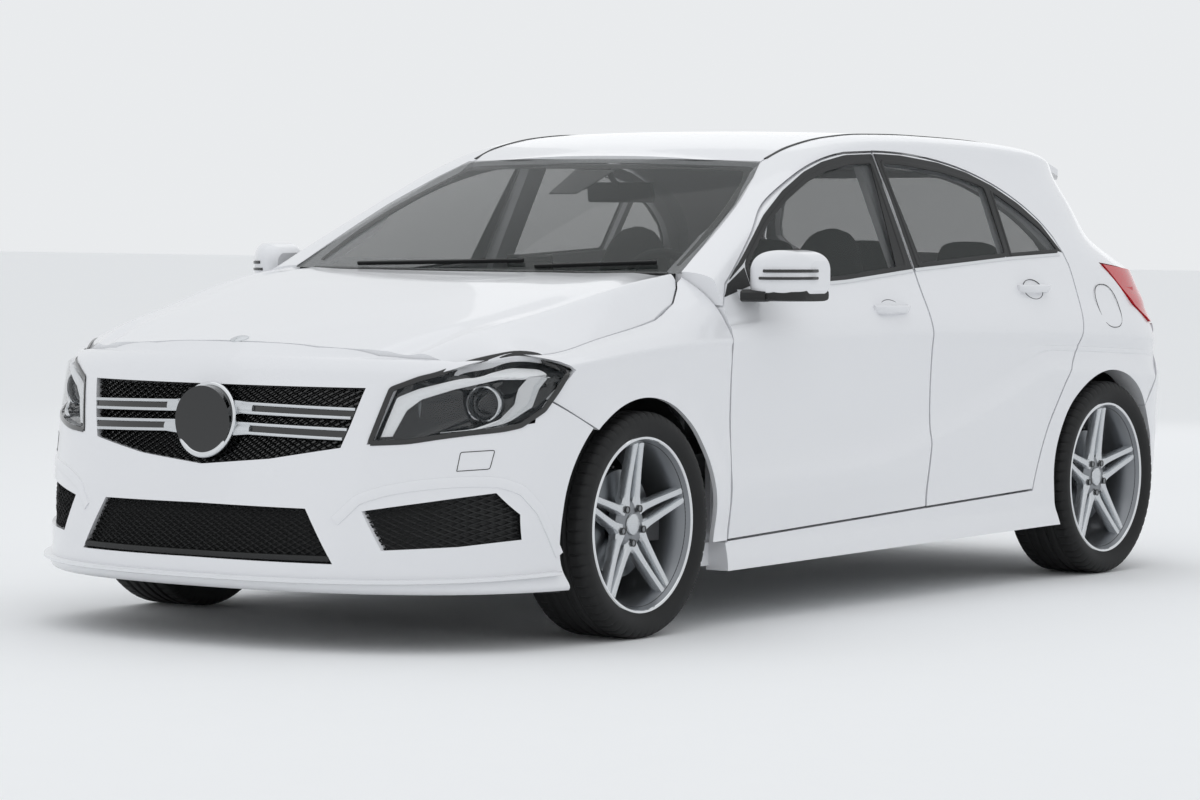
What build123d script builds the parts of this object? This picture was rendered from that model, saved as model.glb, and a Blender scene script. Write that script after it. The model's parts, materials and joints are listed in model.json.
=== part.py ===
from build123d import *
import math
import os

os.makedirs("parts", exist_ok=True)

# A five-door hatchback car. Millimetres. X forward, Y to the car's left, Z up; the origin is on the
# ground, at the centre of the car's length and width.

# ---------------------------------------------------------------- driving dimensions
body_length = 4292
body_height = 1433
flank_half_width = 884
front_overhang = 899
wheelbase = 2699
track_half = 776.5

tyre_radius = 315
tyre_width = 225
rim_radius = 246
arch_radius = 353
hub_radius = 74
disc_radius = 160
disc_thickness = 22

panel_gap = 5
boot_floor = 330
boot_half = 636
boot_wall_x = -2044
boot_wall_top = 646
gate_low = 690
gate_inset = 16
cowl_low = 938
cowl_top = 955
door_gap = 7
clearance = 0.3
glass_thickness = 4
glass_inset = 7
fender_thickness = 14
bumper_thickness = 34
bonnet_thickness = 24
roof_thickness = 22

sill_low = 158
sill_high = 243
floor_height = 172
floor_thickness = 24
bulkhead_x = 862
kingpin_half = 690
pillar_end_x = -1760

# ---------------------------------------------------------------- places worked out from them
nose_x = body_length / 2
tail_x = -body_length / 2
front_axle_x = nose_x - front_overhang
rear_axle_x = front_axle_x - wheelbase
hub_height = tyre_radius
gate_inner_low = gate_low + gate_inset


def along(points, x):
    """Value at x of a smooth curve through (x, value) points, never past its end values."""
    pts = sorted(points)
    if x <= pts[0][0]:
        return pts[0][1]
    if x >= pts[-1][0]:
        return pts[-1][1]
    slopes = [(b[1] - a[1]) / (b[0] - a[0]) for a, b in zip(pts, pts[1:])]
    tangents = [slopes[0]]
    for before, after in zip(slopes, slopes[1:]):
        tangents.append(0 if before * after <= 0 else 2 * before * after / (before + after))
    tangents.append(slopes[-1])
    i = max(j for j in range(len(slopes)) if pts[j][0] <= x)
    step = pts[i + 1][0] - pts[i][0]
    t = (x - pts[i][0]) / step
    return (
        (1 + 2 * t) * (1 - t) ** 2 * pts[i][1]
        + t * (1 - t) ** 2 * step * tangents[i]
        + t * t * (3 - 2 * t) * pts[i + 1][1]
        - t * t * (1 - t) * step * tangents[i + 1]
    )


def ease(t):
    """A smooth step from 0 to 1."""
    t = max(0, min(1, t))
    return t * t * (3 - 2 * t)


def mix(a, b, t):
    """The value a share t of the way from a to b."""
    return a + (b - a) * t


# ---------------------------------------------------------------- feature lines of the body
# Each is a list of (x, z) or (z, x) points that the body's surface passes through.
nose_profile = [(150, nose_x - 40), (184, nose_x - 2), (215, nose_x), (387, 2123), (490, 2101), (640, 2069)]
nose_profile += [(726, 2044), (770, 2014), (800, 1985), (820, 1960)]
tail_profile = [(200, -2040), (330, -2120), (500, tail_x), (620, -2130), (700, -2090), (850, -2060)]
tail_profile += [(990, -2015), (1020, -1992), (1160, -1900), (1290, -1806), (1340, -1770)]
bonnet_centre = [(800, 1012), (930, 1004), (1185, 975), (1440, 930), (1690, 880), (1880, 840), (1960, 820),
    (1990, 808)]
bonnet_crease_y = [(800, 688), (1000, 705), (1185, 698), (1440, 662), (1690, 612), (1880, 570), (1960, 545)]
bonnet_crease_z = [(800, 1007), (1000, 988), (1185, 957), (1440, 903), (1690, 854), (1880, 795), (1960, 772)]
bonnet_edge_y = [(800, 700), (824, 705), (880, 728), (950, 762), (1078, 790), (1344, 790), (1613, 783),
    (1690, 755)]
bonnet_edge_y += [(1760, 708), (1834, 650), (1886, 581)]
bonnet_edge_z = [(800, 1000), (824, 993), (880, 962), (950, 922), (1078, 877), (1344, 833), (1613, 793),
    (1690, 795)]
bonnet_edge_z += [(1760, 780), (1834, 765), (1886, 790)]
roof_centre = [(-1830, 1318), (-1467, 1403), (-1075, 1429), (-800, body_height - 1), (-600, body_height)]
roof_centre += [(-400, body_height - 1), (-200, 1422), (0, 1396), (187, 1348)]
rail_y = [(-1480, 535), (-800, 545), (0, 548), (130, 545), (250, 585), (427, 640), (640, 680), (824, 700)]
rail_z = [(-1900, 1290), (-1467, 1384), (-1075, 1412), (-800, 1420), (-600, 1423), (-400, 1421), (-200, 1408)]
rail_z += [(0, 1376), (130, 1336), (250, 1284), (427, 1198), (640, 1095), (824, 1003)]


def crease_height(x):
    """Height of the shoulder line along the flank."""
    if x > 250:
        return 825 - 74 * ((x - 250) / 1417) ** 3
    return 825 - 23 * ((250 - x) / 1284) ** 2


def ledge_height(x):
    """Height of the lower line, which climbs from the front door to the rear wheel."""
    rise = 0 if x > 0 else 0.155 * -x + 9.1e-5 * x * x
    return min(425 - 0.025 * max(x, 0) + rise, crease_height(x) - 120)


def ledge_strength(x):
    """How strongly the lower line shows: fully on the doors, not at all past the wheels."""
    return ease((900 - x) / 300) * ease((x + 1330) / 260)


def plan_factor(x, z):
    """Share of the width left at x, where the car's plan rounds in towards its nose and tail."""
    if x > 1300:
        reach = min(0.9999, (x - 1300) / (along(nose_profile, z) - 1300))
        return (1 - reach ** 3) ** (1 / 2.35)
    upper = ease((z - 1000) / 110)
    start = mix(-1500, -1300, upper)
    if x < start:
        power = mix(4, 2.5, upper)
        reach = min(0.9999, (start - x) / (start - along(tail_profile, z)))
        return (1 - reach ** power) ** (1 / 2.6)
    return 1


def arch_bulge(x, z):
    """How far the body swells out round a wheel opening."""
    nearest = front_axle_x if x > (front_axle_x + rear_axle_x) / 2 else rear_axle_x
    r = math.hypot(x - nearest, z - hub_height)
    return 5 * (1 - ease((r - arch_radius - 8) / 60))


def flank_y(x, z):
    """Half width of the body at x and z, from the sill to the roof rail."""
    crease = crease_height(x)
    ledge = ledge_height(x)
    strength = ledge_strength(x)
    if z >= crease:
        y = flank_half_width - 0.43 * (z - crease) + 5 * math.sin(math.pi * min(1, (z - crease) / 560))
    elif z >= ledge:
        hollow = math.sin(math.pi * (z - ledge) / (crease - ledge))
        y = flank_half_width - 8 * hollow - 5 * strength * ease((z - ledge) / 40) * (1 - ease((z - ledge) / (crease - ledge)))
    else:
        y = flank_half_width - 16 * ease((ledge - z) / 190) + 10 * ease((245 - z) / 60)
    return (y + arch_bulge(x, z)) * plan_factor(x, z)


def side_row(x):
    """Points (y, z) of the body's side section at x, from under the sill to the roof's edge."""
    crease = crease_height(x)
    ledge = ledge_height(x)
    top_y = along(rail_y, x)
    top_z = along(rail_z, x)
    round_z = top_z - mix(34, 48, ease((130 - x) / 300))
    levels = [sill_low - 18, 180, 210, 240, 262, 300, mix(300, ledge, 0.5), ledge - 24, ledge, ledge + 22,
        ledge + 46]
    levels += [mix(ledge + 46, crease - 30, t) for t in (0.33, 0.66)] + [crease - 30, crease - 8, crease + 8]
    levels += [mix(crease + 8, round_z, t) for t in (0.2, 0.4, 0.6, 0.8, 1)]
    row = [(flank_y(x, z) if z < 1000 else flank_y(max(x, pillar_end_x), z), z) for z in levels]
    start_y = row[-1][0]
    end_y = top_y * plan_factor(max(x, pillar_end_x), top_z)
    for angle in (22, 45, 68, 90):
        a = math.radians(angle)
        row.append((mix(start_y, end_y, 1 - math.cos(a)), mix(round_z, top_z, math.sin(a))))
    return row


def offset_row(row, depth, closed_ends=True):
    """The row moved inwards, to its left as it runs, by a depth that may vary from point to point."""
    moved = []
    for i, (y, z) in enumerate(row):
        before = row[max(i - 1, 0)]
        after = row[min(i + 1, len(row) - 1)]
        dy, dz = after[0] - before[0], after[1] - before[1]
        size = math.hypot(dy, dz)
        d = depth(i) if callable(depth) else depth
        moved.append((y - dz / size * d, z + dy / size * d))
    return moved


def shared_steps(row):
    """Spline parameters by distance along a row."""
    total = [0.0]
    for a, b in zip(row, row[1:]):
        total.append(total[-1] + math.hypot(b[0] - a[0], b[1] - a[1]))
    return [t / total[-1] for t in total]


def skin(planes, rows, inner_rows, steps):
    """A thick skin lofted through sections: each has an outer and an inner curve."""
    with BuildPart() as shell:
        for plane, outer, inner in zip(planes, rows, inner_rows):
            with BuildSketch(plane):
                with BuildLine():
                    add(Edge.make_spline([Vector(*point) for point in outer], parameters=steps))
                    Line(outer[-1], inner[-1])
                    add(Edge.make_spline([Vector(*point) for point in inner], parameters=steps))
                    Line(inner[0], outer[0])
                make_face()
        loft()
    return shell.part


def cross_plane(x):
    """The plane across the car at x, with Y and Z as its own axes."""
    return Plane((x, 0, 0), x_dir=(0, 1, 0), z_dir=(1, 0, 0))


def spaced(start, end, count):
    """Evenly spaced values from start to end."""
    return [mix(start, end, i / (count - 1)) for i in range(count)]


def side_block(outer_depth, shift):
    """The left flank from a depth under its surface to a copy of the surface moved in and down."""
    stations = spaced(-1845, 826, 46)
    rows = [side_row(x) for x in stations]
    outer = [offset_row(row, outer_depth) for row in rows]
    inner = [[(y - shift[0], z - shift[1]) for y, z in row] for row in rows]
    return skin([cross_plane(x) for x in stations], outer, inner, shared_steps(rows[len(rows) // 2]))


def fender_row(x):
    """Points (y, z) of the front fender at x, from its lower edge to the bonnet's side edge."""
    crease = crease_height(x)
    levels = [158, 210, 262, 330, 420, 500, 580, crease - 150, crease - 90, crease - 45, crease - 14, crease]
    row = [(flank_y(x, z), z) for z in levels]
    start_y, start_z = row[-1]
    end_y, end_z = along(bonnet_edge_y, x), along(bonnet_edge_z, x)
    lift = 0.10 * math.hypot(end_y - start_y, end_z - start_z)
    for t in (0.16, 0.33, 0.5, 0.67, 0.84, 1):
        swell = lift * math.sin(math.pi * t)
        row.append((mix(start_y, end_y, t) + 0.8 * swell, mix(start_z, end_z, t) + 0.6 * swell))
    return row


def bonnet_row(x):
    """Points (y, z) across the bonnet at x, from its left edge to its right edge."""
    crease_y, crease_z = along(bonnet_crease_y, x), along(bonnet_crease_z, x)
    edge_y, edge_z = along(bonnet_edge_y, x), along(bonnet_edge_z, x)
    if x > 1840:
        edge_y = crease_y + 90
        edge_z = crease_z - 62
    centre_z = along(bonnet_centre, x)
    half = [(edge_y, edge_z), (mix(edge_y, crease_y, 0.4), mix(edge_z, crease_z, 0.4) + 3)]
    half += [(mix(edge_y, crease_y, 0.8), mix(edge_z, crease_z, 0.8) + 3), (crease_y - 8, crease_z - 1)]
    for t in (0.88, 0.7, 0.5, 0.3, 0.15):
        half.append((crease_y * t, centre_z - (centre_z - crease_z) * t ** 2.2))
    return half + [(0, centre_z)] + [(-y, z) for y, z in reversed(half)]


def roof_row(x):
    """Points (y, z) across the roof at x, from its left ditch to its right one."""
    edge_y = along(rail_y, x)
    centre_z = along(roof_centre, x)
    drop = centre_z - along(rail_z, x)
    half = [(edge_y * t, centre_z - drop * t ** 2.4) for t in (1, 0.92, 0.8, 0.6, 0.4, 0.2)]
    return half + [(0, centre_z)] + [(-y, z) for y, z in reversed(half)]


def across_skin(stations, row_of, thickness):
    """A panel lofted through sections that run across the car."""
    rows = [row_of(x) for x in stations]
    inner = [[(y, z - thickness) for y, z in row] for row in rows]
    return skin([cross_plane(x) for x in stations], rows, inner, shared_steps(rows[0]))


def nose_width(z):
    """Half width of the nose at height z, before its plan rounds in."""
    lower = flank_half_width - 16 * ease((ledge_height(1500) - z) / 190) + 10 * ease((245 - z) / 60)
    return lower - 72 * ease((z - 738) / 40)


def wrap_row(z, width, tip, start, power, root, depth):
    """Points (x, y) of a plan curve that wraps round one end of the car, moved in by a depth."""
    side = 1 if tip > 0 else -1
    row = []
    count = 16
    for i in range(count + 1):
        t = math.radians(90 * i / count)
        x = start + (tip - start) * math.sin(t) ** (2 / power)
        y = width * (1 - min(1, (x - start) / (tip - start)) ** power) ** (1 / root)
        row.append((x, y))
    row = [(start - side * 60, width)] + row
    row += [(x, -y) for x, y in reversed(row[:-1])]
    return offset_row(row, depth if side < 0 else -depth)


def nose_row(z, depth):
    """Plan curve of the nose at height z."""
    return wrap_row(z, nose_width(z), along(nose_profile, z), 1300, 3, 2.35, depth)


def tail_row(z, depth):
    """Plan curve of the tail at height z."""
    upper = ease((z - 1000) / 110)
    width = flank_y(-1290, z)
    return wrap_row(z, width, along(tail_profile, z), mix(-1500, -1300, upper), mix(4, 2.5, upper), 2.6,
        depth)


def wrap_skin(levels, row_of, outer_depth, inner_depth):
    """A skin lofted through plan curves at rising heights."""
    outer = [row_of(z, outer_depth) for z in levels]
    inner = [row_of(z, inner_depth) for z in levels]
    return skin([Plane.XY.offset(z) for z in levels], outer, inner, shared_steps(outer[0]))


# ---------------------------------------------------------------- outlines, prisms and keeping
SIDE_VIEW = Plane((0, 0, 0), x_dir=(1, 0, 0), z_dir=(0, -1, 0))
FRONT_VIEW = Plane((0, 0, 0), x_dir=(0, 1, 0), z_dir=(1, 0, 0))
PLAN_VIEW = Plane.XY


def grown(corners, amount):
    """The outline moved outwards by an amount, point by point, with its corners kept sharp."""
    stretches = [item if isinstance(item, list) else [item] for item in corners]
    ring = list(dict.fromkeys(point for stretch in stretches for point in stretch))
    area = sum(a[0] * b[1] - b[0] * a[1] for a, b in zip(ring, ring[1:] + ring[:1]))
    moved = {}
    for i, point in enumerate(ring):
        before = Vector(*point) - Vector(*ring[i - 1])
        after = Vector(*ring[(i + 1) % len(ring)]) - Vector(*point)
        both = before.normalized() + after.normalized()
        outward = Vector(both.Y, -both.X) * (amount * math.copysign(1, area))
        outward *= min(2 / both.length ** 2, 3 / both.length)
        moved[point] = (point[0] + outward.X, point[1] + outward.Y)
    return [[moved[point] for point in stretch] for stretch in stretches]


def prism(view, corners, low, high, grow=0):
    """A block with an outline given in one view, between two places along that view's axis.

    A list inside the outline is a curve through its points; single corners are joined by lines.
    """
    stretches = grown(corners, grow)
    with BuildPart() as block:
        with BuildSketch(view.offset(low)):
            with BuildLine():
                for stretch, following in zip(stretches, stretches[1:] + stretches[:1]):
                    if len(stretch) > 1:
                        Spline(*stretch)
                    if stretch[-1] != following[0]:
                        Line(stretch[-1], following[0])
            make_face()
        extrude(amount=high - low)
    return block.part


def side_prism(corners, grow=0):
    """A block through the left side of the car, from an outline in X and Z."""
    return prism(SIDE_VIEW, corners, -1100, -300, grow)


def nose_prism(corners, grow=0):
    """A block through the front half of the car, from an outline in Y and Z."""
    return prism(FRONT_VIEW, corners, 1300, 2200, grow)


def wheel_opening(x, radius):
    """A round block that clears a wheel opening on the left side."""
    with BuildPart() as block:
        with BuildSketch(SIDE_VIEW.offset(-1100)):
            with Locations((x, hub_height)):
                Circle(radius)
        extrude(amount=800)
    return block.part


def box(x_range, y_range, z_range):
    """A box from its limits along X, Y and Z."""
    with BuildPart() as block:
        with BuildSketch(Plane.XY.offset(z_range[0])):
            with Locations((sum(x_range) / 2, sum(y_range) / 2)):
                Rectangle(x_range[1] - x_range[0], y_range[1] - y_range[0])
        extrude(amount=z_range[1] - z_range[0])
    return block.part


def rod(start, end, radius):
    """A round bar between two points."""
    line = Vector(*end) - Vector(*start)
    with BuildPart() as bar:
        with BuildSketch(Plane(start, z_dir=line.normalized())):
            Circle(radius)
        extrude(amount=line.length)
    return bar.part


def keep(piece, name):
    """Label a finished piece and write it to its own file."""
    piece.label = name
    export_step(piece, f"parts/{name}.step")


def keep_pair(piece, name):
    """Keep a left-hand piece and its mirror image on the right."""
    keep(piece, f"{name}_left")
    keep(mirror(piece, about=Plane.XZ), f"{name}_right")


def mirrored(corners):
    """An outline that is symmetrical about the car's centre plane, from its left half, top to bottom."""
    return corners + [(-y, z) for y, z in reversed(corners) if y]


# ---------------------------------------------------------------- skins of the body
door_inside = [(812, 100), (812, 880), (774, 1005), (617, 1363), (541, 1400)]
door_zone = prism(FRONT_VIEW, door_inside + [(541, 1500), (1100, 1500), (1100, 100)], -1900, 900)
frame_zone = prism(FRONT_VIEW, door_inside[:4] + [(597, 1352), (754, 994), (793, 872), (793, 100)], -1400,
    900, -clearance)
body_block = side_block(0, (74, 26))
door_block = side_block(0, (110, 30)) & door_zone

nose_levels = spaced(158, 818, 19)
nose_skin = wrap_skin(nose_levels, nose_row, 0, bumper_thickness)
nose_sheet = wrap_skin(nose_levels, nose_row, bumper_thickness - 12, bumper_thickness - 4)
nose_bars = wrap_skin(nose_levels, nose_row, 4, bumper_thickness - 10)
tail_levels = spaced(215, 1335, 28)
tail_skin = wrap_skin(tail_levels, tail_row, 0, bumper_thickness)
tail_outer = wrap_skin(tail_levels, tail_row, 0, 12)
tail_inner = wrap_skin(tail_levels, tail_row, 10, bumper_thickness)
tail_glass = wrap_skin(tail_levels, tail_row, glass_inset, glass_inset + glass_thickness)

# ---------------------------------------------------------------- outlines of the panels, in X and Z
door_front_x = 812
# the front door's rear edge only bulges and the rear door's front edge is straight; the gap between
# them widens upwards, because the leaning window frame sweeps back as the front door opens
door_split = [(-292, 283), (-299, 480), (-304, 700), (-307, 900), (-310, 1362)]
rear_split_low = (door_split[0][0] - 1.7 * door_gap, door_split[0][1])
rear_split_high = (door_split[-1][0] - 1.93 * door_gap, door_split[-1][1] + 1)
door_rear_edge = [(-965, 302), (-1056, 486), (-1150, 633), (-1237, 748), (-1290, 850), (-1318, 950),
    (-1322, 1010)]
window_top_front = [(764, 972), (610, 1066), (441, 1172), (285, 1246), (129, 1303), (0, 1335), (-150, 1357)]
window_top_rear = [rear_split_high, (-480, 1360), (-700, 1340), (-860, 1311), (-1000, 1270), (-1130, 1213)]
window_top_rear += [(-1230, 1150), (-1283, 1098)]
front_door_outline = [(door_front_x, 250), *door_split, window_top_front[::-1], (door_front_x, 905)]
rear_door_outline = [door_rear_edge, (-1312, 1046), window_top_rear[::-1], rear_split_low]

front_window = [(628, 968), (108, 984), (-272, 1013), (-290, 1336)]
front_window += [[(-150, 1330), (0, 1308), (129, 1276), (285, 1220), (441, 1147), (560, 1072)], (628, 1026)]
rear_window = [(-345, 1018), (-925, 1045), (-950, 1262)]
rear_window += [[(-930, 1268), (-860, 1284), (-700, 1312), (-480, 1332), (-350, 1336)]]
quarter_window = [(-955, 1046), (-1284, 1056)]
quarter_window += [[(-1258, 1092), (-1210, 1134), (-1115, 1189), (-1030, 1230), (-980, 1251)]]

bonnet_front = [(1955, 129), (1948, 282), (1913, 465), (1869, 572), (1832, 657), (1760, 712), (1682, 752)]
bonnet_side = [(1682, 752), (1613, 781), (1478, 789), (1344, 790), (1078, 788), (950, 762), (880, 728),
    (852, 708)]


def windshield_x(y, z):
    """The windscreen's place along X at a point across and up it."""
    rise = (z - 1000) / 345
    return 935 - 745 * rise + 26 * math.sin(math.pi * max(0, min(1, rise))) - 2.2e-4 * y * y


bonnet_rear = [(windshield_x(y, 1000) + 28, y) for y in (706, 560, 400, 200, 0)]

upper_grille = [(0, 706), (476, 706), (450, 608), (430, 546), (225, 511), (0, 490)]
lower_grille = [(0, 386), (352, 383), (440, 238), (0, 240)]
side_intake = [(505, 380), (661, 407), (782, 429), (818, 370), (818, 302), (722, 287), (561, 277)]
headlamp_outline = [(505, 562), (546, 701), (672, 753), (752, 797), (831, 756), (824, 617), (761, 597),
    (687, 587)]
tailgate_half = [(0, 1400), (528, 1400), (528, 1300), (570, 1210), (640, 1085), (640, 832), (596, 700),
    (0, gate_low)]
tail_lamp_outline = [(-1562, 1011), (-1760, 992), (-1900, 985), (-2200, 980), (-2200, 838), (-1950, 828),
    (-1800, 818)]
tail_lamp_outline += [(-1690, 880)]
quarter_rear = [(-1722, 545), (-1815, 640), (-1842, 740), (-1850, 985), (-1790, 1025), (-1727, 1100),
    (-1699, 1200)]
quarter_rear += [(-1680, 1290), (-1600, 1440)]


# ---------------------------------------------------------------- doors and their glass
front_arch = wheel_opening(front_axle_x, arch_radius)
rear_arch = wheel_opening(rear_axle_x, arch_radius)


def side_glass(shoulder):
    """A long slightly crowned pane, set in from the side of a body with its shoulder line at a height."""
    levels = spaced(930, 1370, 6)
    outer = [(flank_half_width - 0.43 * (z - shoulder) + 5 * math.sin(math.pi * (z - shoulder) / 560), z) for z in levels]
    profile = [[(y - glass_inset, z) for y, z in outer],
        [(y - glass_inset - 1.1 * glass_thickness, z) for y, z in reversed(outer)]]
    return prism(FRONT_VIEW, profile, -1350, 850)


def door(outline, windows, shoulder, name):
    """A door with its window frame as one thick piece, and its panes."""
    with BuildPart() as panel:
        add(door_block)
        add(side_prism(outline), mode=Mode.INTERSECT)
        for window in windows:
            add(side_prism(window), mode=Mode.SUBTRACT)
        add(rear_arch, mode=Mode.SUBTRACT)
    with BuildPart() as panes:
        for window in windows:
            add(side_glass(shoulder) & side_prism(window, -clearance))
    keep_pair(panel.part, f"{name}_door")
    keep_pair(panes.part, f"{name}_door_glass")


door(front_door_outline, [front_window], 820, "front")
door(rear_door_outline, [rear_window, quarter_window], 808, "rear")

# ---------------------------------------------------------------- windscreen
screen_levels = spaced(1003, 1345, 12)


def screen_row(z, depth):
    """Plan curve of the windscreen at height z."""
    return [(windshield_x(y, z) - depth, y) for y in spaced(-760, 760, 15)]


screen_side = [(706, 1003), (690, 1050), (668, 1110), (636, 1198), (584, 1282), (541, 1332), (300, 1337),
    (0, 1338)]
with BuildPart() as windshield:
    add(wrap_skin(screen_levels, screen_row, 0, 12))
    add(prism(FRONT_VIEW, mirrored(screen_side[::-1]), -100, 1000), mode=Mode.INTERSECT)
keep(windshield.part, "windshield")
screen_recess = wrap_skin(screen_levels, screen_row, -40, 12 + clearance)
screen_recess &= prism(FRONT_VIEW, mirrored(screen_side[::-1]), -100, 1000, clearance)

# ---------------------------------------------------------------- body sides
side_outline = [(960, sill_low), (960, sill_high - 3), (door_front_x + 2, sill_high - 3),
    (door_front_x + 2, 1440)]
side_outline += quarter_rear[::-1] + [(-1722, sill_low + 27)]
inner_outline = [(905, 172), (905, 238), (822, 238), (812, 940)]
inner_outline += [(x, z - 6) for x, z in window_top_front] + [(-330, 1357), (-480, 1354), (-700, 1334)]
inner_outline += [(-860, 1305), (-1000, 1264), (-1130, 1207), (-1230, 1144), (-1345, 1070)]
inner_outline += [(-1345, 1000), (-1080, 500), (-1000, 172)]
inner_front = [(770, 305), (-235, 330), (-270, 800), (-262, 1000), (-272, 1322)]
inner_front += [[(-150, 1314), (0, 1290), (129, 1258), (285, 1202), (441, 1128), (600, 1030)], (770, 925)]
inner_rear = [(-375, 335), (-920, 350), (-1010, 520), (-1195, 780), (-1268, 920), (-1272, 1050)]
inner_rear += [[(-1240, 1078), (-1115, 1172), (-980, 1232), (-860, 1270), (-700, 1297), (-480, 1318), (-366, 1321)]]
inner_rear += [(-356, 1000), (-372, 800)]
spoiler_half = [(-1475, 0), (-1475, 528), (-1640, 524), (-1760, 512), (-1812, 480), (-1828, 400), (-1836, 0)]
rocker_inner = 735

with BuildPart() as inner_frame:
    add(frame_zone)
    add(side_prism(inner_outline), mode=Mode.INTERSECT)
    add(side_prism(inner_front), mode=Mode.SUBTRACT)
    add(side_prism(inner_rear), mode=Mode.SUBTRACT)

with BuildPart() as body_side:
    add(body_block)
    add(side_prism(side_outline), mode=Mode.INTERSECT)
    add(box((-2000, 1000), (541, 1000), (0, 1500)), mode=Mode.INTERSECT)
    add(side_prism(front_door_outline, door_gap), mode=Mode.SUBTRACT)
    add(side_prism(rear_door_outline, door_gap), mode=Mode.SUBTRACT)
    add(side_prism(tail_lamp_outline, panel_gap), mode=Mode.SUBTRACT)
    add(inner_frame.part)
    add(box((-1010, 880), (rocker_inner, 800), (floor_height, 262)))
    add(screen_recess, mode=Mode.SUBTRACT)
    add(wheel_opening(front_axle_x, arch_radius + 8), mode=Mode.SUBTRACT)
    add(rear_arch, mode=Mode.SUBTRACT)
    add(prism(FRONT_VIEW, mirrored(tailgate_half), -2200, -1470, panel_gap), mode=Mode.SUBTRACT)
keep_pair(body_side.part, "body_side")

# ---------------------------------------------------------------- roof, bonnet and fenders
roof_half = 541 - clearance
roof_skin = across_skin(spaced(-1836, 187, 24), roof_row, roof_thickness)
header = [(windshield_x(y, 1338) + 4, y) for y in (0, 150, 300, 420, 536)]
roof_outline = header + [(60, roof_half), (-400, roof_half), (-1466, 529), (-1466, 0)]
with BuildPart() as roof_panel:
    add(roof_skin)
    add(prism(PLAN_VIEW, roof_outline + [(x, -y) for x, y in reversed(roof_outline)][1:-1], 1200, 1500),
        mode=Mode.INTERSECT)
    for side in (1, -1):
        with BuildSketch(cross_plane(-1466)):
            with Locations((side * 515, 1352)):
                Rectangle(40, 30)
        extrude(amount=1266)
    add(prism(SIDE_VIEW, [(-1466, 1200), (-1466, 1500), (250, 1500), (250, 1240), (-200, 1340), (-1000, 1340)], -600, 600),
        mode=Mode.INTERSECT)
    add(screen_recess, mode=Mode.SUBTRACT)
keep(roof_panel.part, "roof_panel")

bonnet_skin = across_skin(spaced(815, 1985, 22), bonnet_row, bonnet_thickness)
bonnet_half = [(1955, 0)] + bonnet_front + bonnet_side[1:] + bonnet_rear
bonnet_outline = bonnet_half + [(x, -y) for x, y in reversed(bonnet_half) if y]


with BuildPart() as bonnet:
    add(bonnet_skin)
    add(prism(PLAN_VIEW, bonnet_outline, 700, 1100), mode=Mode.INTERSECT)
keep(bonnet.part, "bonnet")

upper_rail_half = 766
fender_stations = spaced(815, 1700, 24)
fender_rows = [fender_row(x) for x in fender_stations]
fender_inner = [offset_row(row, fender_thickness) for row in fender_rows]
fender_skin = skin([cross_plane(x) for x in fender_stations], fender_rows, fender_inner,
    shared_steps(fender_rows[12]))
fender_outline = [(door_front_x + door_gap, sill_high + 3), (930, sill_high + 3), (1247, 500), (1470, 587),
    (1652, 676)]
fender_outline += [(1564, 752), (1600, 775), (1694, 802), (1694, 900), (door_front_x + door_gap, 1050)]
with BuildPart() as fender:
    add(fender_skin)
    add(side_prism(fender_outline), mode=Mode.INTERSECT)
    add(prism(PLAN_VIEW, bonnet_outline, 700, 1100, panel_gap), mode=Mode.SUBTRACT)
    for x in (900, 1440):
        add(box((x, x + 60), (upper_rail_half, 866), (700, 748)))
    add(front_arch, mode=Mode.SUBTRACT)
keep_pair(fender.part, "fender")

# ---------------------------------------------------------------- front bumper, grilles and headlamps
bumper_mask = [(1230, 100), (2200, 100), (2200, 900), (1760, 900), (1713, 622), (1656, 670), (1473, 581),
    (1230, 581)]


def both_sides(piece):
    """A left-hand piece together with its mirror image."""
    with BuildPart() as pair:
        add(piece)
        add(mirror(piece, about=Plane.XZ))
    return pair.part


lamp_rear_x = 1560
lamp_seat_x = 1900
headlamp_cut = both_sides(prism(FRONT_VIEW, headlamp_outline, lamp_rear_x, 2200, panel_gap))
with BuildPart() as headlamp:
    add(nose_skin & prism(FRONT_VIEW, headlamp_outline, lamp_rear_x, 2200))
    add(box((lamp_seat_x, lamp_seat_x + 26), (540, 590), (615, 690)))
    add(side_prism(fender_outline, panel_gap), mode=Mode.SUBTRACT)
    add(prism(PLAN_VIEW, bonnet_outline, 733, 1100, panel_gap + 1), mode=Mode.SUBTRACT)
intake_cut = both_sides(nose_prism(side_intake))
crossmember_x = 1985
with BuildPart() as front_bumper:
    add(nose_skin)
    add(prism(SIDE_VIEW, bumper_mask, -1000, 1000), mode=Mode.INTERSECT)
    add(prism(PLAN_VIEW, bonnet_outline, 700, 1100, panel_gap), mode=Mode.SUBTRACT)
    add(headlamp_cut, mode=Mode.SUBTRACT)
    add(nose_prism(mirrored(upper_grille)), mode=Mode.SUBTRACT)
    add(nose_prism(mirrored(lower_grille)), mode=Mode.SUBTRACT)
    add(intake_cut, mode=Mode.SUBTRACT)
    add(both_sides(box((crossmember_x, 2056), (260, 340), (440, 490))))
    add(both_sides(wheel_opening(front_axle_x, arch_radius + 22)), mode=Mode.SUBTRACT)
keep(front_bumper.part, "front_bumper")
keep_pair(headlamp.part, "headlamp")


# ---------------------------------------------------------------- grilles
louvre_top = [(120, 660), (458, 652), (448, 622), (110, 630)]
louvre_low = [(110, 606), (442, 598), (431, 566), (100, 576)]
badge_height = 606
badge_radius = 96
with BuildPart() as radiator_grille:
    add(nose_sheet & nose_prism(mirrored(upper_grille), -clearance))
    for bar in (louvre_top, louvre_low):
        add(nose_bars & both_sides(nose_prism(bar)))
    with BuildSketch(FRONT_VIEW.offset(2048)):
        with Locations((0, badge_height)):
            Circle(badge_radius)
    extrude(amount=50)
keep(radiator_grille.part, "radiator_grille")

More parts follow.
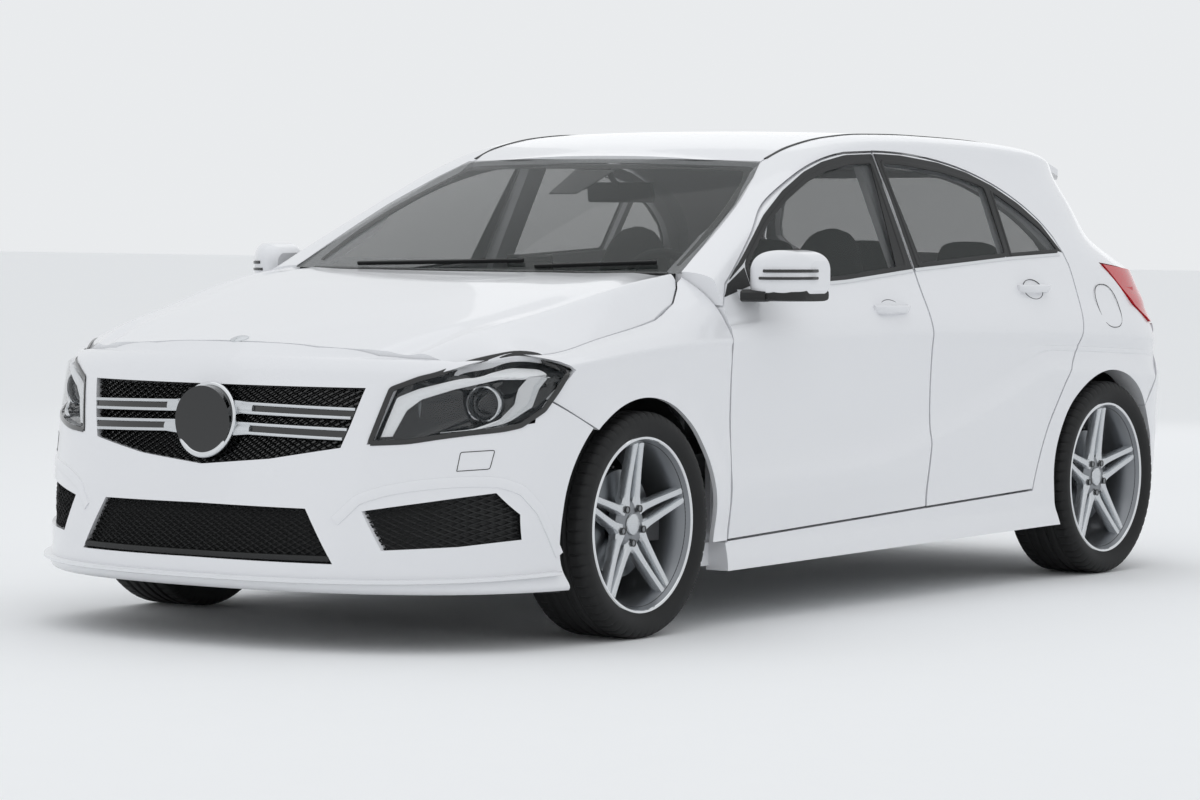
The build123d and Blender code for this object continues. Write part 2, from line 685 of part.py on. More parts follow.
with BuildPart() as bumper_grilles:
    add(nose_sheet & nose_prism(mirrored(lower_grille), -clearance))
    add(both_sides(nose_sheet & nose_prism(side_intake, -clearance)))
keep(bumper_grilles.part, "bumper_grilles")

# ---------------------------------------------------------------- tailgate, its glass and the rear lamps
tail_view = mirrored(tailgate_half)
rear_glass = [(0, 1296), (505, 1292), (560, 1190), (600, 1092), (588, 1046), (0, 1036)]
gate_lamp = [(634, 976), (634, 842), (520, 846), (452, 905), (470, 962)]
spoiler_outline = spoiler_half + [(x, -y) for x, y in reversed(spoiler_half) if y]
with BuildPart() as tailgate:
    add(tail_outer & prism(FRONT_VIEW, tail_view, -2200, -1490))
    add(tail_inner & prism(FRONT_VIEW, tail_view, -2200, -1490, -gate_inset))
    add(prism(FRONT_VIEW, mirrored(rear_glass), -2200, -1490), mode=Mode.SUBTRACT)
    add(both_sides(prism(FRONT_VIEW, gate_lamp, -2200, -1490, clearance)), mode=Mode.SUBTRACT)
    add(roof_skin & prism(PLAN_VIEW, spoiler_outline, 1200, 1500))
keep(tailgate.part, "tailgate")
keep(tail_glass & prism(FRONT_VIEW, mirrored(rear_glass), -2200, -1490, -clearance), "tailgate_glass")
keep(both_sides(tail_skin & prism(FRONT_VIEW, gate_lamp, -2200, -1490)), "tailgate_lamps")

lamp_inner_edge = 640 + panel_gap
with BuildPart() as tail_lamp:
    add(tail_skin & side_prism(tail_lamp_outline))
    add(box((-2200, -1500), (lamp_inner_edge, 1000), (700, 1100)), mode=Mode.INTERSECT)
    add(side_prism(tail_lamp_outline, panel_gap - clearance) & box((-1720, -1600), (806, 822), (885, 935)))
keep(both_sides(tail_lamp.part), "tail_lamps")

bumper_rear_mask = [(-1727, 100), (-1727, 545), (-1820, 640), (-1850, 740), (-1855, 1000), (-2300, 1000),
    (-2300, 100)]
with BuildPart() as rear_bumper:
    add(tail_skin)
    add(prism(SIDE_VIEW, bumper_rear_mask, -1000, 1000), mode=Mode.INTERSECT)
    add(box((-2300, -1500), (-1000, 1000), (0, 812)), mode=Mode.INTERSECT)
    add(prism(FRONT_VIEW, tail_view, -2300, -1490, panel_gap), mode=Mode.SUBTRACT)
    add(both_sides(box((-2100, boot_wall_x), (300, 380), (420, 500))))
    add(both_sides(wheel_opening(rear_axle_x, arch_radius)), mode=Mode.SUBTRACT)
keep(rear_bumper.part, "rear_bumper")

# ---------------------------------------------------------------- floor, front frame and arch liners
floor_half = rocker_inner
floor_top = floor_height + floor_thickness
with BuildPart() as floor_pan:
    add(box((-1010, bulkhead_x), (-floor_half, floor_half), (floor_height, floor_top)))
    add(box((-1010, -986), (-boot_half, boot_half), (floor_height, boot_floor)))
    add(box((-1900, -986), (-boot_half, boot_half), (boot_floor, boot_floor + 20)))
    add(box((boot_wall_x, -1900), (-500, 500), (boot_floor, boot_floor + 20)))
    add(box((boot_wall_x, boot_wall_x + 20), (-500, 500), (boot_floor, boot_wall_top)))
    add(box((boot_wall_x, boot_wall_x + 20), (-60, 60), (boot_wall_top, gate_inner_low - clearance)))
    add(box((boot_wall_x - 28, boot_wall_x), (-60, 60), (gate_inner_low - 14, gate_inner_low - clearance)))
    add(box((840, bulkhead_x), (-floor_half, floor_half), (floor_height, cowl_low)))
    add(box((-986, 840), (-90, 90), (floor_top, floor_top + 70)))
keep(floor_pan.part, "floor_pan")

leg_half = 430
with BuildPart() as front_frame:
    for side in (1, -1):
        add(box((bulkhead_x, crossmember_x - 40), (side * leg_half - 40, side * leg_half + 40), (430, 560)))
        add(box((bulkhead_x, 1560), (side * (upper_rail_half - 26) - 26, side * (upper_rail_half - 26) + 26), (700, 748)))
        add(box((1520, 1560), (min(side * 740, side * 430), max(side * 740, side * 430)), (700, 748)))
        add(box((1520, 1560), (side * leg_half - 40, side * leg_half + 40), (430, 748)))
    add(both_sides(box((1525, 1555), (585, 615), (740, 875))))
    add(bonnet.part.moved(Location((0, 0, -clearance))), mode=Mode.SUBTRACT)
    add(box((crossmember_x - 45, crossmember_x), (-470, 470), (430, 540)))
    add(box((lamp_seat_x - 20, lamp_seat_x), (-470, 470), (380, 700)))
    add(box((lamp_seat_x - 20, lamp_seat_x), (-590, 590), (615, 690)))
    add(box((lamp_seat_x - 40, crossmember_x - 10), (-470, 470), (430, 460)))
keep(front_frame.part, "front_frame")


def arch_liner(x, radius, inner_y, outer_y, low):
    """A curved liner over one wheel, open below."""
    with BuildPart() as liner:
        with BuildSketch(SIDE_VIEW.offset(-outer_y)):
            with Locations((x, hub_height)):
                Circle(radius + 4)
                Circle(radius, mode=Mode.SUBTRACT)
            with Locations((x, low - 500)):
                Rectangle(2 * radius + 100, 1000, mode=Mode.SUBTRACT)
        extrude(amount=outer_y - inner_y)
    return liner.part


with BuildPart() as wheel_arch_liners:
    add(both_sides(arch_liner(front_axle_x, 376, 480, 815, 262)))
    add(both_sides(arch_liner(rear_axle_x, 362, boot_half, 794, 262)))
keep(wheel_arch_liners.part, "wheel_arch_liners")

# ---------------------------------------------------------------- engine, subframe, rear axle, exhaust
subframe_top = 238
with BuildPart() as front_subframe:
    add(box((1090, 1400), (-430, 430), (subframe_top - 50, subframe_top)))
    for side in (1, -1):
        add(box((1150, 1190), (side * 430 - 30, side * 430 + 30), (subframe_top, 430)))
        add(rod((1200, side * 420, 214), (front_axle_x, side * (kingpin_half - 24), 214), 16))
        with BuildSketch(Plane.XY.offset(196)):
            with Locations((front_axle_x, side * kingpin_half)):
                Circle(32)
                Circle(14 + clearance, mode=Mode.SUBTRACT)
        extrude(amount=36)
keep(front_subframe.part, "front_subframe")

with BuildPart() as engine:
    add(box((1080, 1500), (-360, 330), (subframe_top, 760)))
    fillet(engine.edges().filter_by(Axis.Z), 40)
keep(engine.part, "engine")

hub_face = 18
spindle_radius = 22
with BuildPart() as rear_axle:
    add(rod((rear_axle_x + 40, -560, 262), (rear_axle_x + 40, 560, 262), 34))
    for side in (1, -1):
        add(box((rear_axle_x - 60, -1010), (side * 560 - 36, side * 560 + 36), (236, 296)))
        add(box((rear_axle_x - 55, rear_axle_x + 55), (side * 615 - 70, side * 615 + 70), (hub_height - 60, boot_floor - 4)))
        add(box((rear_axle_x - 55, rear_axle_x + 55), (side * 664 - 21, side * 664 + 21), (hub_height - 60, hub_height + 60)))
        add(rod((rear_axle_x, side * 680, hub_height), (rear_axle_x, side * (track_half + hub_face), hub_height), spindle_radius))
keep(rear_axle.part, "rear_axle")

with BuildPart() as exhaust:
    add(box((-1955, -1830), (-470, 400), (212, boot_floor)))
    add(rod((-1860, 0, 262), (-1500 - 90, 0, 262), 28))
keep(exhaust.part, "exhaust")


# ---------------------------------------------------------------- cowl under the windscreen
cowl_rear = [(windshield_x(y, 1003) - 12, y) for y in (700, 560, 400, 200, 0)]
cowl_front = [(x - 4, y) for x, y in bonnet_rear[::-1]]
cowl_half = cowl_rear + cowl_front
with BuildPart() as cowl:
    for side in (1, -1):
        with BuildSketch(Plane.XY.offset(cowl_low)):
            with BuildLine():
                Polyline(*[(x, side * y) for x, y in cowl_half], close=True)
            make_face()
        extrude(amount=cowl_top - cowl_low)
    add(wrap_skin([cowl_low, 970, 1003 - clearance], lambda z, depth: screen_row(1003, depth), 0, 12)
        & box((0, 1000), (-684, 684), (0, 1100)))
keep(cowl.part, "cowl")

# ---------------------------------------------------------------- wheels, tyres, knuckles
spoke_pairs = 5
spoke_start = 90
spoke_spread = 13
wheel_names = {"front": front_axle_x, "rear": rear_axle_x}
rim_profile = [(rim_radius, 95), (rim_radius, 88), (226, 84), (218, 40), (214, -40), (226, -84),
    (rim_radius, -88)]
rim_profile += [(rim_radius, -95), (236, -95), (217, -86), (205, -40), (209, 42), (224, 82), (236, 95)]
envelope = [(0, 62), (72, 62), (140, 66), (217, 84), (217, 62), (140, 44), (72, 34), (0, 34)]
tyre_half = [(226.8, 83.2), (247, 87.3), (270, tyre_width / 2 - 1.5), (299, tyre_width / 2 - 3.5),
    (tyre_radius, 88)]
tyre_profile = tyre_half + [(r, -y) for r, y in reversed(tyre_half)]


def turned(x, profile):
    """A ring turned about the left wheel's axle at x, from an outline in radius and distance out."""
    with BuildPart() as ring:
        with BuildSketch(Plane((x, track_half, hub_height), x_dir=(0, 0, 1), z_dir=(-1, 0, 0))):
            with BuildLine():
                Polyline(*profile, close=True)
            make_face()
        revolve(axis=Axis((x, 0, hub_height), (0, 1, 0)))
    return ring.part


def spokes(x):
    """Five pairs of spokes that spread towards the rim, with the middle that they grow from."""
    with BuildPart() as star:
        with BuildSketch(Plane((x, track_half + 90, hub_height), x_dir=(1, 0, 0), z_dir=(0, -1, 0))):
            Circle(hub_radius - 8)
            for i in range(spoke_pairs):
                for lean in (1, -1):
                    middle = math.radians(spoke_start + 360 * i / spoke_pairs)
                    inner = middle + lean * math.radians(9)
                    outer = middle + lean * math.radians(spoke_spread)
                    corners = [(40, inner - 0.34), (40, inner + 0.34), (218, outer + 0.052),
                        (218, outer - 0.052)]
                    with BuildLine():
                        Polyline(*[(r * math.cos(a), r * math.sin(a)) for r, a in corners], close=True)
                    make_face()
        extrude(amount=60)
        add(turned(x, envelope), mode=Mode.INTERSECT)
    return star.part


def wheel(x):
    """The left rim with its spokes, hub and brake disc at x."""
    with BuildPart() as rim:
        add(turned(x, rim_profile))
        add(spokes(x))
        add(turned(x, [(spindle_radius + clearance, -10), (hub_radius - 10, -10), (hub_radius - 10, 36), (0, 36),
                       (0, 22), (spindle_radius + clearance, 22)]))
        add(turned(x, [(hub_radius - 16, -8), (disc_radius, -8), (disc_radius, disc_thickness - 8),
                       (hub_radius - 16, disc_thickness - 8)]))
    return rim.part


for end, axle_x in wheel_names.items():
    keep_pair(wheel(axle_x), f"{end}_wheel")
    keep_pair(turned(axle_x, tyre_profile), f"{end}_tyre")

with BuildPart() as knuckle:
    add(box((front_axle_x - 42, front_axle_x + 42), (kingpin_half - 30, kingpin_half + 24), (244, 440)))
    add(rod((front_axle_x, kingpin_half, hub_height), (front_axle_x, track_half + hub_face, hub_height), spindle_radius))
    add(rod((front_axle_x, kingpin_half, 198), (front_axle_x, kingpin_half, 250), 14))
    add(box((front_axle_x - 170, front_axle_x - 40), (kingpin_half + 4, kingpin_half + 24), (280, 350)))
    add(box((front_axle_x - 178, front_axle_x - 100), (kingpin_half + 4, track_half + 27), (260, 370)))
    add(turned(front_axle_x, [(0, -12), (disc_radius + 5, -12), (disc_radius + 5, 18), (0, 18)])
        & box((front_axle_x - 200, front_axle_x - 80), (700, 850), (200, 430)), mode=Mode.SUBTRACT)
keep_pair(knuckle.part, "knuckle")

# ---------------------------------------------------------------- mirrors on the front doors
mirror_stations = [(868, 640, 992, 66, 50), (900, 634, 996, 92, 68), (950, 612, 998, 100, 74)]
mirror_stations += [(988, 582, 998, 88, 66), (1011, 556, 998, 54, 42)]
with BuildPart() as mirror_head:
    for y, x, z, half_length, half_height in mirror_stations:
        with BuildSketch(Plane((x, y, z), x_dir=(1, 0, 0), z_dir=(0, 1, 0))):
            RectangleRounded(2 * half_length, 2 * half_height, 0.62 * half_height)
    loft()
    add(box((600, 716), (815, 900), (926, 958)))
    add(door_block, mode=Mode.SUBTRACT)
keep_pair(mirror_head.part, "mirror")

# ---------------------------------------------------------------- cabin: dashboard, steering wheel, seats
cabin_half = 740
with BuildPart() as dashboard:
    add(prism(SIDE_VIEW, [(840, 720), (840, 930), (800, 936), (750, 962), (620, 958), (560, 930), (545, 860), (600, 760), (640, 720)],
              -cabin_half, cabin_half))
    add(prism(SIDE_VIEW, [(640, 700), (640, 760), (560, 800), (480, 500), (-180, 470), (-180, floor_top + 70), (640, floor_top + 70)],
              -105, 105))
wheel_y = 370
column_tilt = math.radians(24)
column = Vector(-math.cos(column_tilt), 0, math.sin(column_tilt))
steering_centre = Vector(352, wheel_y, 900)
steering_radius = 184
with BuildPart() as dashboard_full:
    add(dashboard.part)
    add(rod(tuple(steering_centre - column * 300), tuple(steering_centre - column * (30 + clearance)), 34))
keep(dashboard_full.part, "dashboard")

wheel_face = Plane(tuple(steering_centre), x_dir=(0, 1, 0), z_dir=tuple(column))
with BuildPart() as steering_wheel:
    with BuildSketch(wheel_face.offset(-13)):
        Circle(steering_radius)
        Circle(steering_radius - 28, mode=Mode.SUBTRACT)
    extrude(amount=26)
    fillet(steering_wheel.edges(), 11)
    with BuildSketch(wheel_face.offset(-30)):
        RectangleRounded(150, 120, 40)
    extrude(amount=34)
    with BuildSketch(wheel_face.offset(-12)):
        Rectangle(2 * steering_radius - 20, 44)
        with Locations((0, -80)):
            Rectangle(44, 160)
    extrude(amount=14)
keep(steering_wheel.part, "steering_wheel")


def seat(y, half_width, base, cushion, back, head):
    """A seat: cushion, leaning back and headrest, each an outline in X and Z with its own half width."""
    with BuildPart() as whole:
        for outline, share in ((base, 0.8), (cushion, 1), (back, 0.94), (head, 0.52)):
            with BuildSketch(SIDE_VIEW.offset(-y - share * half_width)):
                with BuildLine():
                    Polyline(*outline, close=True)
                make_face()
            extrude(amount=2 * share * half_width)
    return whole.part


seat_y = 372
front_base = [(150, floor_top), (150, 330), (-330, 330), (-330, floor_top)]
front_cushion = [(190, 330), (205, 400), (150, 470), (-270, 440), (-360, 460), (-380, 330)]
front_back = [(-270, 430), (-330, 460), (-470, 960), (-520, 1010), (-585, 990), (-500, 600), (-440, 400),
    (-370, 340)]
front_head = [(-478, 985), (-512, 1140), (-545, 1165), (-592, 1140), (-580, 985)]
for label, side in (("left", 1), ("right", -1)):
    keep(seat(side * seat_y, 255, front_base, front_cushion, front_back, front_head), f"front_seat_{label}")

rear_cushion = [(-690, 340), (-670, 430), (-700, 490), (-1130, 455), (-1200, 480), (-1200, boot_floor + 20),
    (-986, boot_floor + 20)]
rear_cushion += [(-960, 340)]
rear_back = [(-1115, 450), (-1180, 480), (-1300, 930), (-1350, 980), (-1400, 960), (-1330, 700),
    (-1250, boot_floor + 20)]
rear_back += [(-1190, boot_floor + 20)]
with BuildPart() as rear_seat:
    for outline in (rear_cushion, rear_back):
        with BuildSketch(SIDE_VIEW.offset(-boot_half + 4)):
            with BuildLine():
                Polyline(*outline, close=True)
            make_face()
        extrude(amount=2 * (boot_half - 4))
    for y in (-400, 0, 400):
        with BuildSketch(SIDE_VIEW.offset(-y - 125)):
            with BuildLine():
                Polyline((-1312, 955), (-1340, 1080), (-1372, 1098), (-1412, 1080), (-1398, 940), close=True)
            make_face()
        extrude(amount=250)
keep(rear_seat.part, "rear_seat")
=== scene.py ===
"""Dresses the jointed hatchback: paint, glass, lamps, grilles, wheels, trims and a furnished cabin.

Lengths in the classes are millimetres in the car's own frame: +X forward, +Y to the car's left, +Z up.
"""
import json
import logging
import math
from collections.abc import Callable
from dataclasses import dataclass, field
from enum import Enum, StrEnum

import bmesh
import bpy
import numpy as np
from mathutils import Matrix, Vector


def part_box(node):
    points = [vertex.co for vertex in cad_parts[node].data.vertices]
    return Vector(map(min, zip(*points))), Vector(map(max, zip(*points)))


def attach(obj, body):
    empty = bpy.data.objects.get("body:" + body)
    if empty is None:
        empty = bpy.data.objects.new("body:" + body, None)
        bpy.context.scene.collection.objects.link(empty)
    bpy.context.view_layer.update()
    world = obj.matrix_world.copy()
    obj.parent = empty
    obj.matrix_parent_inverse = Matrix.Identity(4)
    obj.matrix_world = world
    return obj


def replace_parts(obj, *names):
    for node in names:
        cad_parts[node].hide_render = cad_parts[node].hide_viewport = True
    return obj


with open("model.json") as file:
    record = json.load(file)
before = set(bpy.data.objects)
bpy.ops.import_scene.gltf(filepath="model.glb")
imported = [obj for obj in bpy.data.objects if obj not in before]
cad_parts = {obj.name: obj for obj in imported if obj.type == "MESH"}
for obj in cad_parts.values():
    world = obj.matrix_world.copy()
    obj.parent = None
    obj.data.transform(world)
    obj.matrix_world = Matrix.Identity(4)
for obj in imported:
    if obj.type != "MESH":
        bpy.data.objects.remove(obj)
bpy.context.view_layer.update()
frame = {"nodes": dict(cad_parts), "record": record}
log = logging.getLogger("hatchback")
MM = 0.001
SAME_POINT = 2e-6  # metres: points nearer than this are one
CLOTH_STEPS = 14
FULL_TURN = 2 * math.pi
FORWARD, LEFT, UP = np.eye(3)
Array = np.ndarray
Pair = tuple[float, float]
Line = list[Pair]
Mesh = tuple[Array, list]


class Side(StrEnum):
    """A side of the car."""

    LEFT = "left"
    RIGHT = "right"

    @property
    def sign(self) -> int:
        """1 on the left, where Y is positive, and -1 on the right."""
        return 1 if self is Side.LEFT else -1


class End(StrEnum):
    """An end of the car."""

    FRONT = "front"
    REAR = "rear"


# ---------------------------------------------------------------- finishes
class Pattern(Enum):
    """How a surface was made, which gives its fine relief."""

    PEEL = "sprayed paint"
    GRAIN = "moulded grain"
    WEAVE = "woven threads"
    TURNED = "machined face"
    CAST = "cast or rubber"
    PRISM = "ribbed optic"


def linear(colour: str) -> tuple[float, float, float, float]:
    """Turns an sRGB hex colour to linear light.

    Args:
        colour: Six hex digits.

    Returns:
        Linear red, green and blue, and an alpha of one.
    """
    part = [int(colour[i:i + 2], 16) / 255 for i in (0, 2, 4)]
    return tuple(c / 12.92 if c <= 0.04045 else ((c + 0.055) / 1.055) ** 2.4 for c in part) + (1.0,)


def add_node(tree: bpy.types.NodeTree, kind: str, values: dict | None = None, **settings) -> bpy.types.Node:
    """Adds a shader node.

    Args:
        tree: The material's node tree.
        kind: The node's type name.
        values: Input socket to a value, or to an output socket that is linked to it.
        **settings: Attributes of the node itself.

    Returns:
        The new node.
    """
    node = tree.nodes.new(kind)
    for name, value in settings.items():
        setattr(node, name, value)
    for key, value in (values or {}).items():
        if isinstance(value, bpy.types.NodeSocket):
            tree.links.new(value, node.inputs[key])
        else:
            node.inputs[key].default_value = value
    return node


@dataclass(frozen=True)
class Finish:
    """A real material: its colour, gloss and the relief its making leaves.

    Attributes:
        title: The material's name.
        colour: Its colour as an sRGB hex value.
        pattern: How its surface was made.
        pitch: Spacing of the relief in millimetres.
        relief: Height of the relief in millimetres.
        rough: Roughness.
        metal: How metallic it is, from 0 to 1.
        coat: Weight of its clear coat.
        alpha: Its opacity.
        mottle: Share by which the colour darkens in patches.
        ior: Index of refraction.
        glow: Strength of the light that it gives out.
    """

    title: str
    colour: str
    pattern: Pattern
    pitch: float
    relief: float
    rough: float
    metal: float = 0.0
    coat: float = 0.0
    alpha: float = 1.0
    mottle: float = 0.06
    ior: float = 1.5
    glow: float = 0.0

    def relief_height(self, tree: bpy.types.NodeTree, place: bpy.types.NodeSocket) -> bpy.types.NodeSocket:
        """Adds the nodes of the finish's relief.

        Args:
            tree: The material's node tree.
            place: Socket with the Object coordinates.

        Returns:
            The socket that gives the relief's height.
        """
        scale = 1000 / self.pitch
        if self.pattern is Pattern.GRAIN:
            return add_node(tree, "ShaderNodeTexVoronoi", {"Vector": place, "Scale": scale}).outputs["Distance"]
        if self.pattern is Pattern.WEAVE:
            along = add_node(tree, "ShaderNodeTexWave", {"Vector": place, "Scale": scale / 2, "Distortion": 0.6})
            across = add_node(tree, "ShaderNodeTexWave", {"Vector": place, "Scale": scale / 2, "Distortion": 0.6},
                              bands_direction="Z")
            both = add_node(tree, "ShaderNodeMath", {0: along.outputs["Fac"], 1: across.outputs["Fac"]},
                            operation="MULTIPLY")
            return both.outputs[0]
        if self.pattern is Pattern.PRISM:
            return add_node(tree, "ShaderNodeTexWave", {"Vector": place, "Scale": scale / 2},
                            bands_direction="DIAGONAL").outputs["Fac"]
        detail = {Pattern.PEEL: 1.0, Pattern.TURNED: 6.0, Pattern.CAST: 8.0}[self.pattern]
        return add_node(tree, "ShaderNodeTexNoise", {"Vector": place, "Scale": scale, "Detail": detail}).outputs["Fac"]

    def material(self) -> bpy.types.Material:
        """Makes the material, once for each finish.

        Returns:
            The new material, or the one made before.
        """
        made = bpy.data.materials.get(self.title)
        if made:
            return made
        made = bpy.data.materials.new(self.title)
        made.use_nodes = True
        tree = made.node_tree
        shader = tree.nodes["Principled BSDF"]
        place = add_node(tree, "ShaderNodeTexCoord").outputs["Object"]
        patches = add_node(tree, "ShaderNodeTexNoise", {"Vector": place, "Scale": 7.0, "Detail": 3.0})
        full = linear(self.colour)
        dark = tuple(c * (1 - self.mottle) for c in full[:3]) + (1.0,)
        tint = add_node(tree, "ShaderNodeMix", {"Factor": patches.outputs["Fac"]}, data_type="RGBA")
        tint.inputs[6].default_value, tint.inputs[7].default_value = dark, full
        tree.links.new(tint.outputs[2], shader.inputs["Base Color"])
        gloss = add_node(tree, "ShaderNodeMapRange", {"Value": patches.outputs["Fac"],
                                                     "To Min": self.rough * 0.9, "To Max": self.rough * 1.12})
        tree.links.new(gloss.outputs["Result"], shader.inputs["Roughness"])
        bump = add_node(tree, "ShaderNodeBump", {"Height": self.relief_height(tree, place), "Strength": 0.5,
                                                 "Distance": self.relief * MM})
        tree.links.new(bump.outputs["Normal"], shader.inputs["Normal"])
        for name, value in {"Metallic": self.metal, "Coat Weight": self.coat, "Coat Roughness": 0.03,
                            "Alpha": self.alpha, "IOR": self.ior}.items():
            shader.inputs[name].default_value = value
        if self.glow:
            shader.inputs["Emission Color"].default_value = full
            shader.inputs["Emission Strength"].default_value = self.glow
        return made


# Two-pack enamel: a deep clear coat over white, with a faint orange peel.
WHITE = Finish("white enamel", "E4E5E8", Pattern.PEEL, 9, 0.004, 0.3, coat=0.8, mottle=0.004)
# Electrocoated sheet steel: dull grey, slightly uneven.
PRIMER = Finish("electrocoated steel", "8E9193", Pattern.CAST, 3, 0.05, 0.5)
# Moulded polypropylene: a fine pebble grain that scatters light.
POLYPROPYLENE = Finish("grained polypropylene", "131415", Pattern.GRAIN, 1.6, 0.12, 0.55)
# Piano-black ABS: almost mirror smooth.
PIANO = Finish("gloss black ABS", "08090A", Pattern.PEEL, 12, 0.01, 0.09, coat=0.6)
# Tinted float glass: grey-green and polished; it lets light through both ways.
GLASS = Finish("tinted float glass", "1F2725", Pattern.PEEL, 90, 0.0, 0.02, alpha=0.34, ior=1.52, mottle=0.0)
# Polycarbonate lens: clear with a hard coat.
LENS = Finish("clear polycarbonate", "4A5054", Pattern.PEEL, 60, 0.0, 0.03, alpha=0.09, ior=1.58, mottle=0.0)
# Acrylic light guide: frosted ribs that catch the light.
GUIDE = Finish("ribbed acrylic guide", "F0F2F4", Pattern.PRISM, 9, 0.9, 0.22, mottle=0.12, glow=0.12)
# Red acrylic over ribs.
RED = Finish("red acrylic", "B8121C", Pattern.PRISM, 8, 0.5, 0.12, coat=0.7, mottle=0.2, glow=0.15)
# Diamond-cut and lacquered aluminium alloy, its grey darkened as painted shade for the wheel's barrel and hub, which
# sit in shadow behind the brighter spokes.
SHADED_ALLOY = Finish("shaded lacquered alloy", "85888C", Pattern.TURNED, 1.5, 0.02, 0.3, metal=0.8, coat=0.3)
# Bright chrome plate: a clean mirror.
CHROME = Finish("bright chrome", "DEE0E2", Pattern.PEEL, 40, 0.01, 0.07, metal=1.0, mottle=0.03)
# Satin silver plate: brushed under its plating, so that highlights spread.
SATIN = Finish("satin silver plate", "D0D3D6", Pattern.TURNED, 1.2, 0.02, 0.26, metal=0.85)
# Carbon-filled rubber: nearly black, matt, faintly pitted.
RUBBER = Finish("tyre rubber", "0E0F10", Pattern.CAST, 1.4, 0.14, 0.72, mottle=0.2)
# Sand-cast iron: coarse and uneven.
IRON = Finish("cast iron", "4A4B4D", Pattern.CAST, 2.4, 0.4, 0.6, metal=0.6, mottle=0.2)
# Turned and brushed steel: fine rings that stretch the highlights.
STEEL = Finish("brushed steel", "8B8E91", Pattern.TURNED, 1.0, 0.03, 0.35, metal=1.0)
# Slush-moulded dashboard skin: a soft leather-like grain.
SKIN = Finish("soft grained skin", "1B1C1E", Pattern.GRAIN, 2.2, 0.2, 0.6)
# Woven polyester: 1.4 mm threads, drawn at 3 mm so that the weave shows.
CLOTH = Finish("woven polyester", "26282A", Pattern.WEAVE, 3.0, 0.5, 0.85, mottle=0.15)
# Painted shade for the hand recess round each door handle: grey, a lighter and tighter weave.
RECESS_SHADE = Finish("painted recess shade", "3A3C3F", Pattern.WEAVE, 2.0, 0.3, 0.8)
# Matt paper sweep.
PAPER = Finish("pale studio floor", "F4F5F6", Pattern.CAST, 60, 0.02, 0.8, mottle=0.01)


# ---------------------------------------------------------------- meshes from arrays
def finish_mesh(name: str, part: Mesh, look: Finish, body: str = "body", sharp: float = 35) -> bpy.types.Object:
    """Puts worked-out points and faces into a piece that rides on a body.

    Args:
        name: The piece's name.
        part: Its points in millimetres, and its faces as rows of point numbers.
        look: Its finish.
        body: The body that carries it.
        sharp: Angle in degrees past which an edge shows as an edge.

    Returns:
        The piece.
    """
    points, faces = part
    mesh = bpy.data.meshes.new(name)
    mesh.from_pydata((np.asarray(points, float).reshape(-1, 3) * MM).tolist(), [], faces)
    work = bmesh.new()
    work.from_mesh(mesh)
    bmesh.ops.remove_doubles(work, verts=work.verts, dist=SAME_POINT)
    bmesh.ops.recalc_face_normals(work, faces=work.faces)
    work.to_mesh(mesh)
    work.free()
    mesh.shade_smooth()
    mesh.set_sharp_from_angle(angle=math.radians(sharp))
    piece = bpy.data.objects.new(name, mesh)
    bpy.context.collection.objects.link(piece)
    piece.data.materials.append(look.material())
    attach(piece, body)
    log.info("%s: %d faces", name, len(mesh.polygons))
    return piece


def quads(rows: int, columns: int, wrap: bool = False, start: int = 0) -> Array:
    """Faces of a grid of points, row by row.

    Args:
        rows: Points along the first parameter.
        columns: Points along the second.
        wrap: Whether the second parameter closes on itself.
        start: Number of the grid's first point.

    Returns:
        Faces of four points each.
    """
    i, j = np.meshgrid(np.arange(rows - 1), np.arange(columns if wrap else columns - 1), indexing="ij")
    k = (j + 1) % columns
    return (np.stack([i * columns + j, i * columns + k, (i + 1) * columns + k, (i + 1) * columns + j], -1)
            .reshape(-1, 4) + start)


def slab(outer: Array, inner: Array) -> Mesh:
    """A closed shell between two grids: both grids and a strip along each of their four edges.

    Args:
        outer: Grid of points, rows by columns by 3.
        inner: The other face's grid, of the same shape.

    Returns:
        Points and faces: the outer grid's, the inner grid's, then the strip's.
    """
    rows, columns = outer.shape[:2]
    total = rows * columns
    ring = np.concatenate([np.arange(columns), np.arange(1, rows) * columns + columns - 1,
                           total - 2 - np.arange(columns - 1), (rows - 2 - np.arange(rows - 2)) * columns])
    after = np.roll(ring, -1)
    rim = np.stack([ring, after, after + total, ring + total], -1)
    faces = np.concatenate([quads(rows, columns), quads(rows, columns, start=total)[:, ::-1], rim])
    return np.concatenate([outer.reshape(-1, 3), inner.reshape(-1, 3)]), faces.tolist()


def capped(grid: Array) -> Mesh:
    """Rings of points joined into a closed form with flat ends.

    Args:
        grid: Rings along the first axis, points round the second.

    Returns:
        Points and faces.
    """
    rows, columns = grid.shape[:2]
    ends = [list(range(columns))[::-1], list(range((rows - 1) * columns, rows * columns))]
    return grid.reshape(-1, 3), quads(rows, columns, wrap=True).tolist() + ends


def tube(path: Array | list, side: Array | tuple, up: Array | tuple, section: Array) -> Mesh:
    """A closed section carried along a path: point = path + side * s + up * t, with flat ends.

    Args:
        path: Points along the middle, n by 3.
        side: Direction of the section's first axis, one for all or one for each point.
        up: Direction of its second axis, likewise.
        section: Points (s, t) round the section.

    Returns:
        Points and faces.
    """
    path = np.asarray(path, float)
    side, up = (np.broadcast_to(np.asarray(axis, float), path.shape) for axis in (side, up))
    return capped(path[:, None] + side[:, None] * section[None, :, :1] + up[:, None] * section[None, :, 1:])


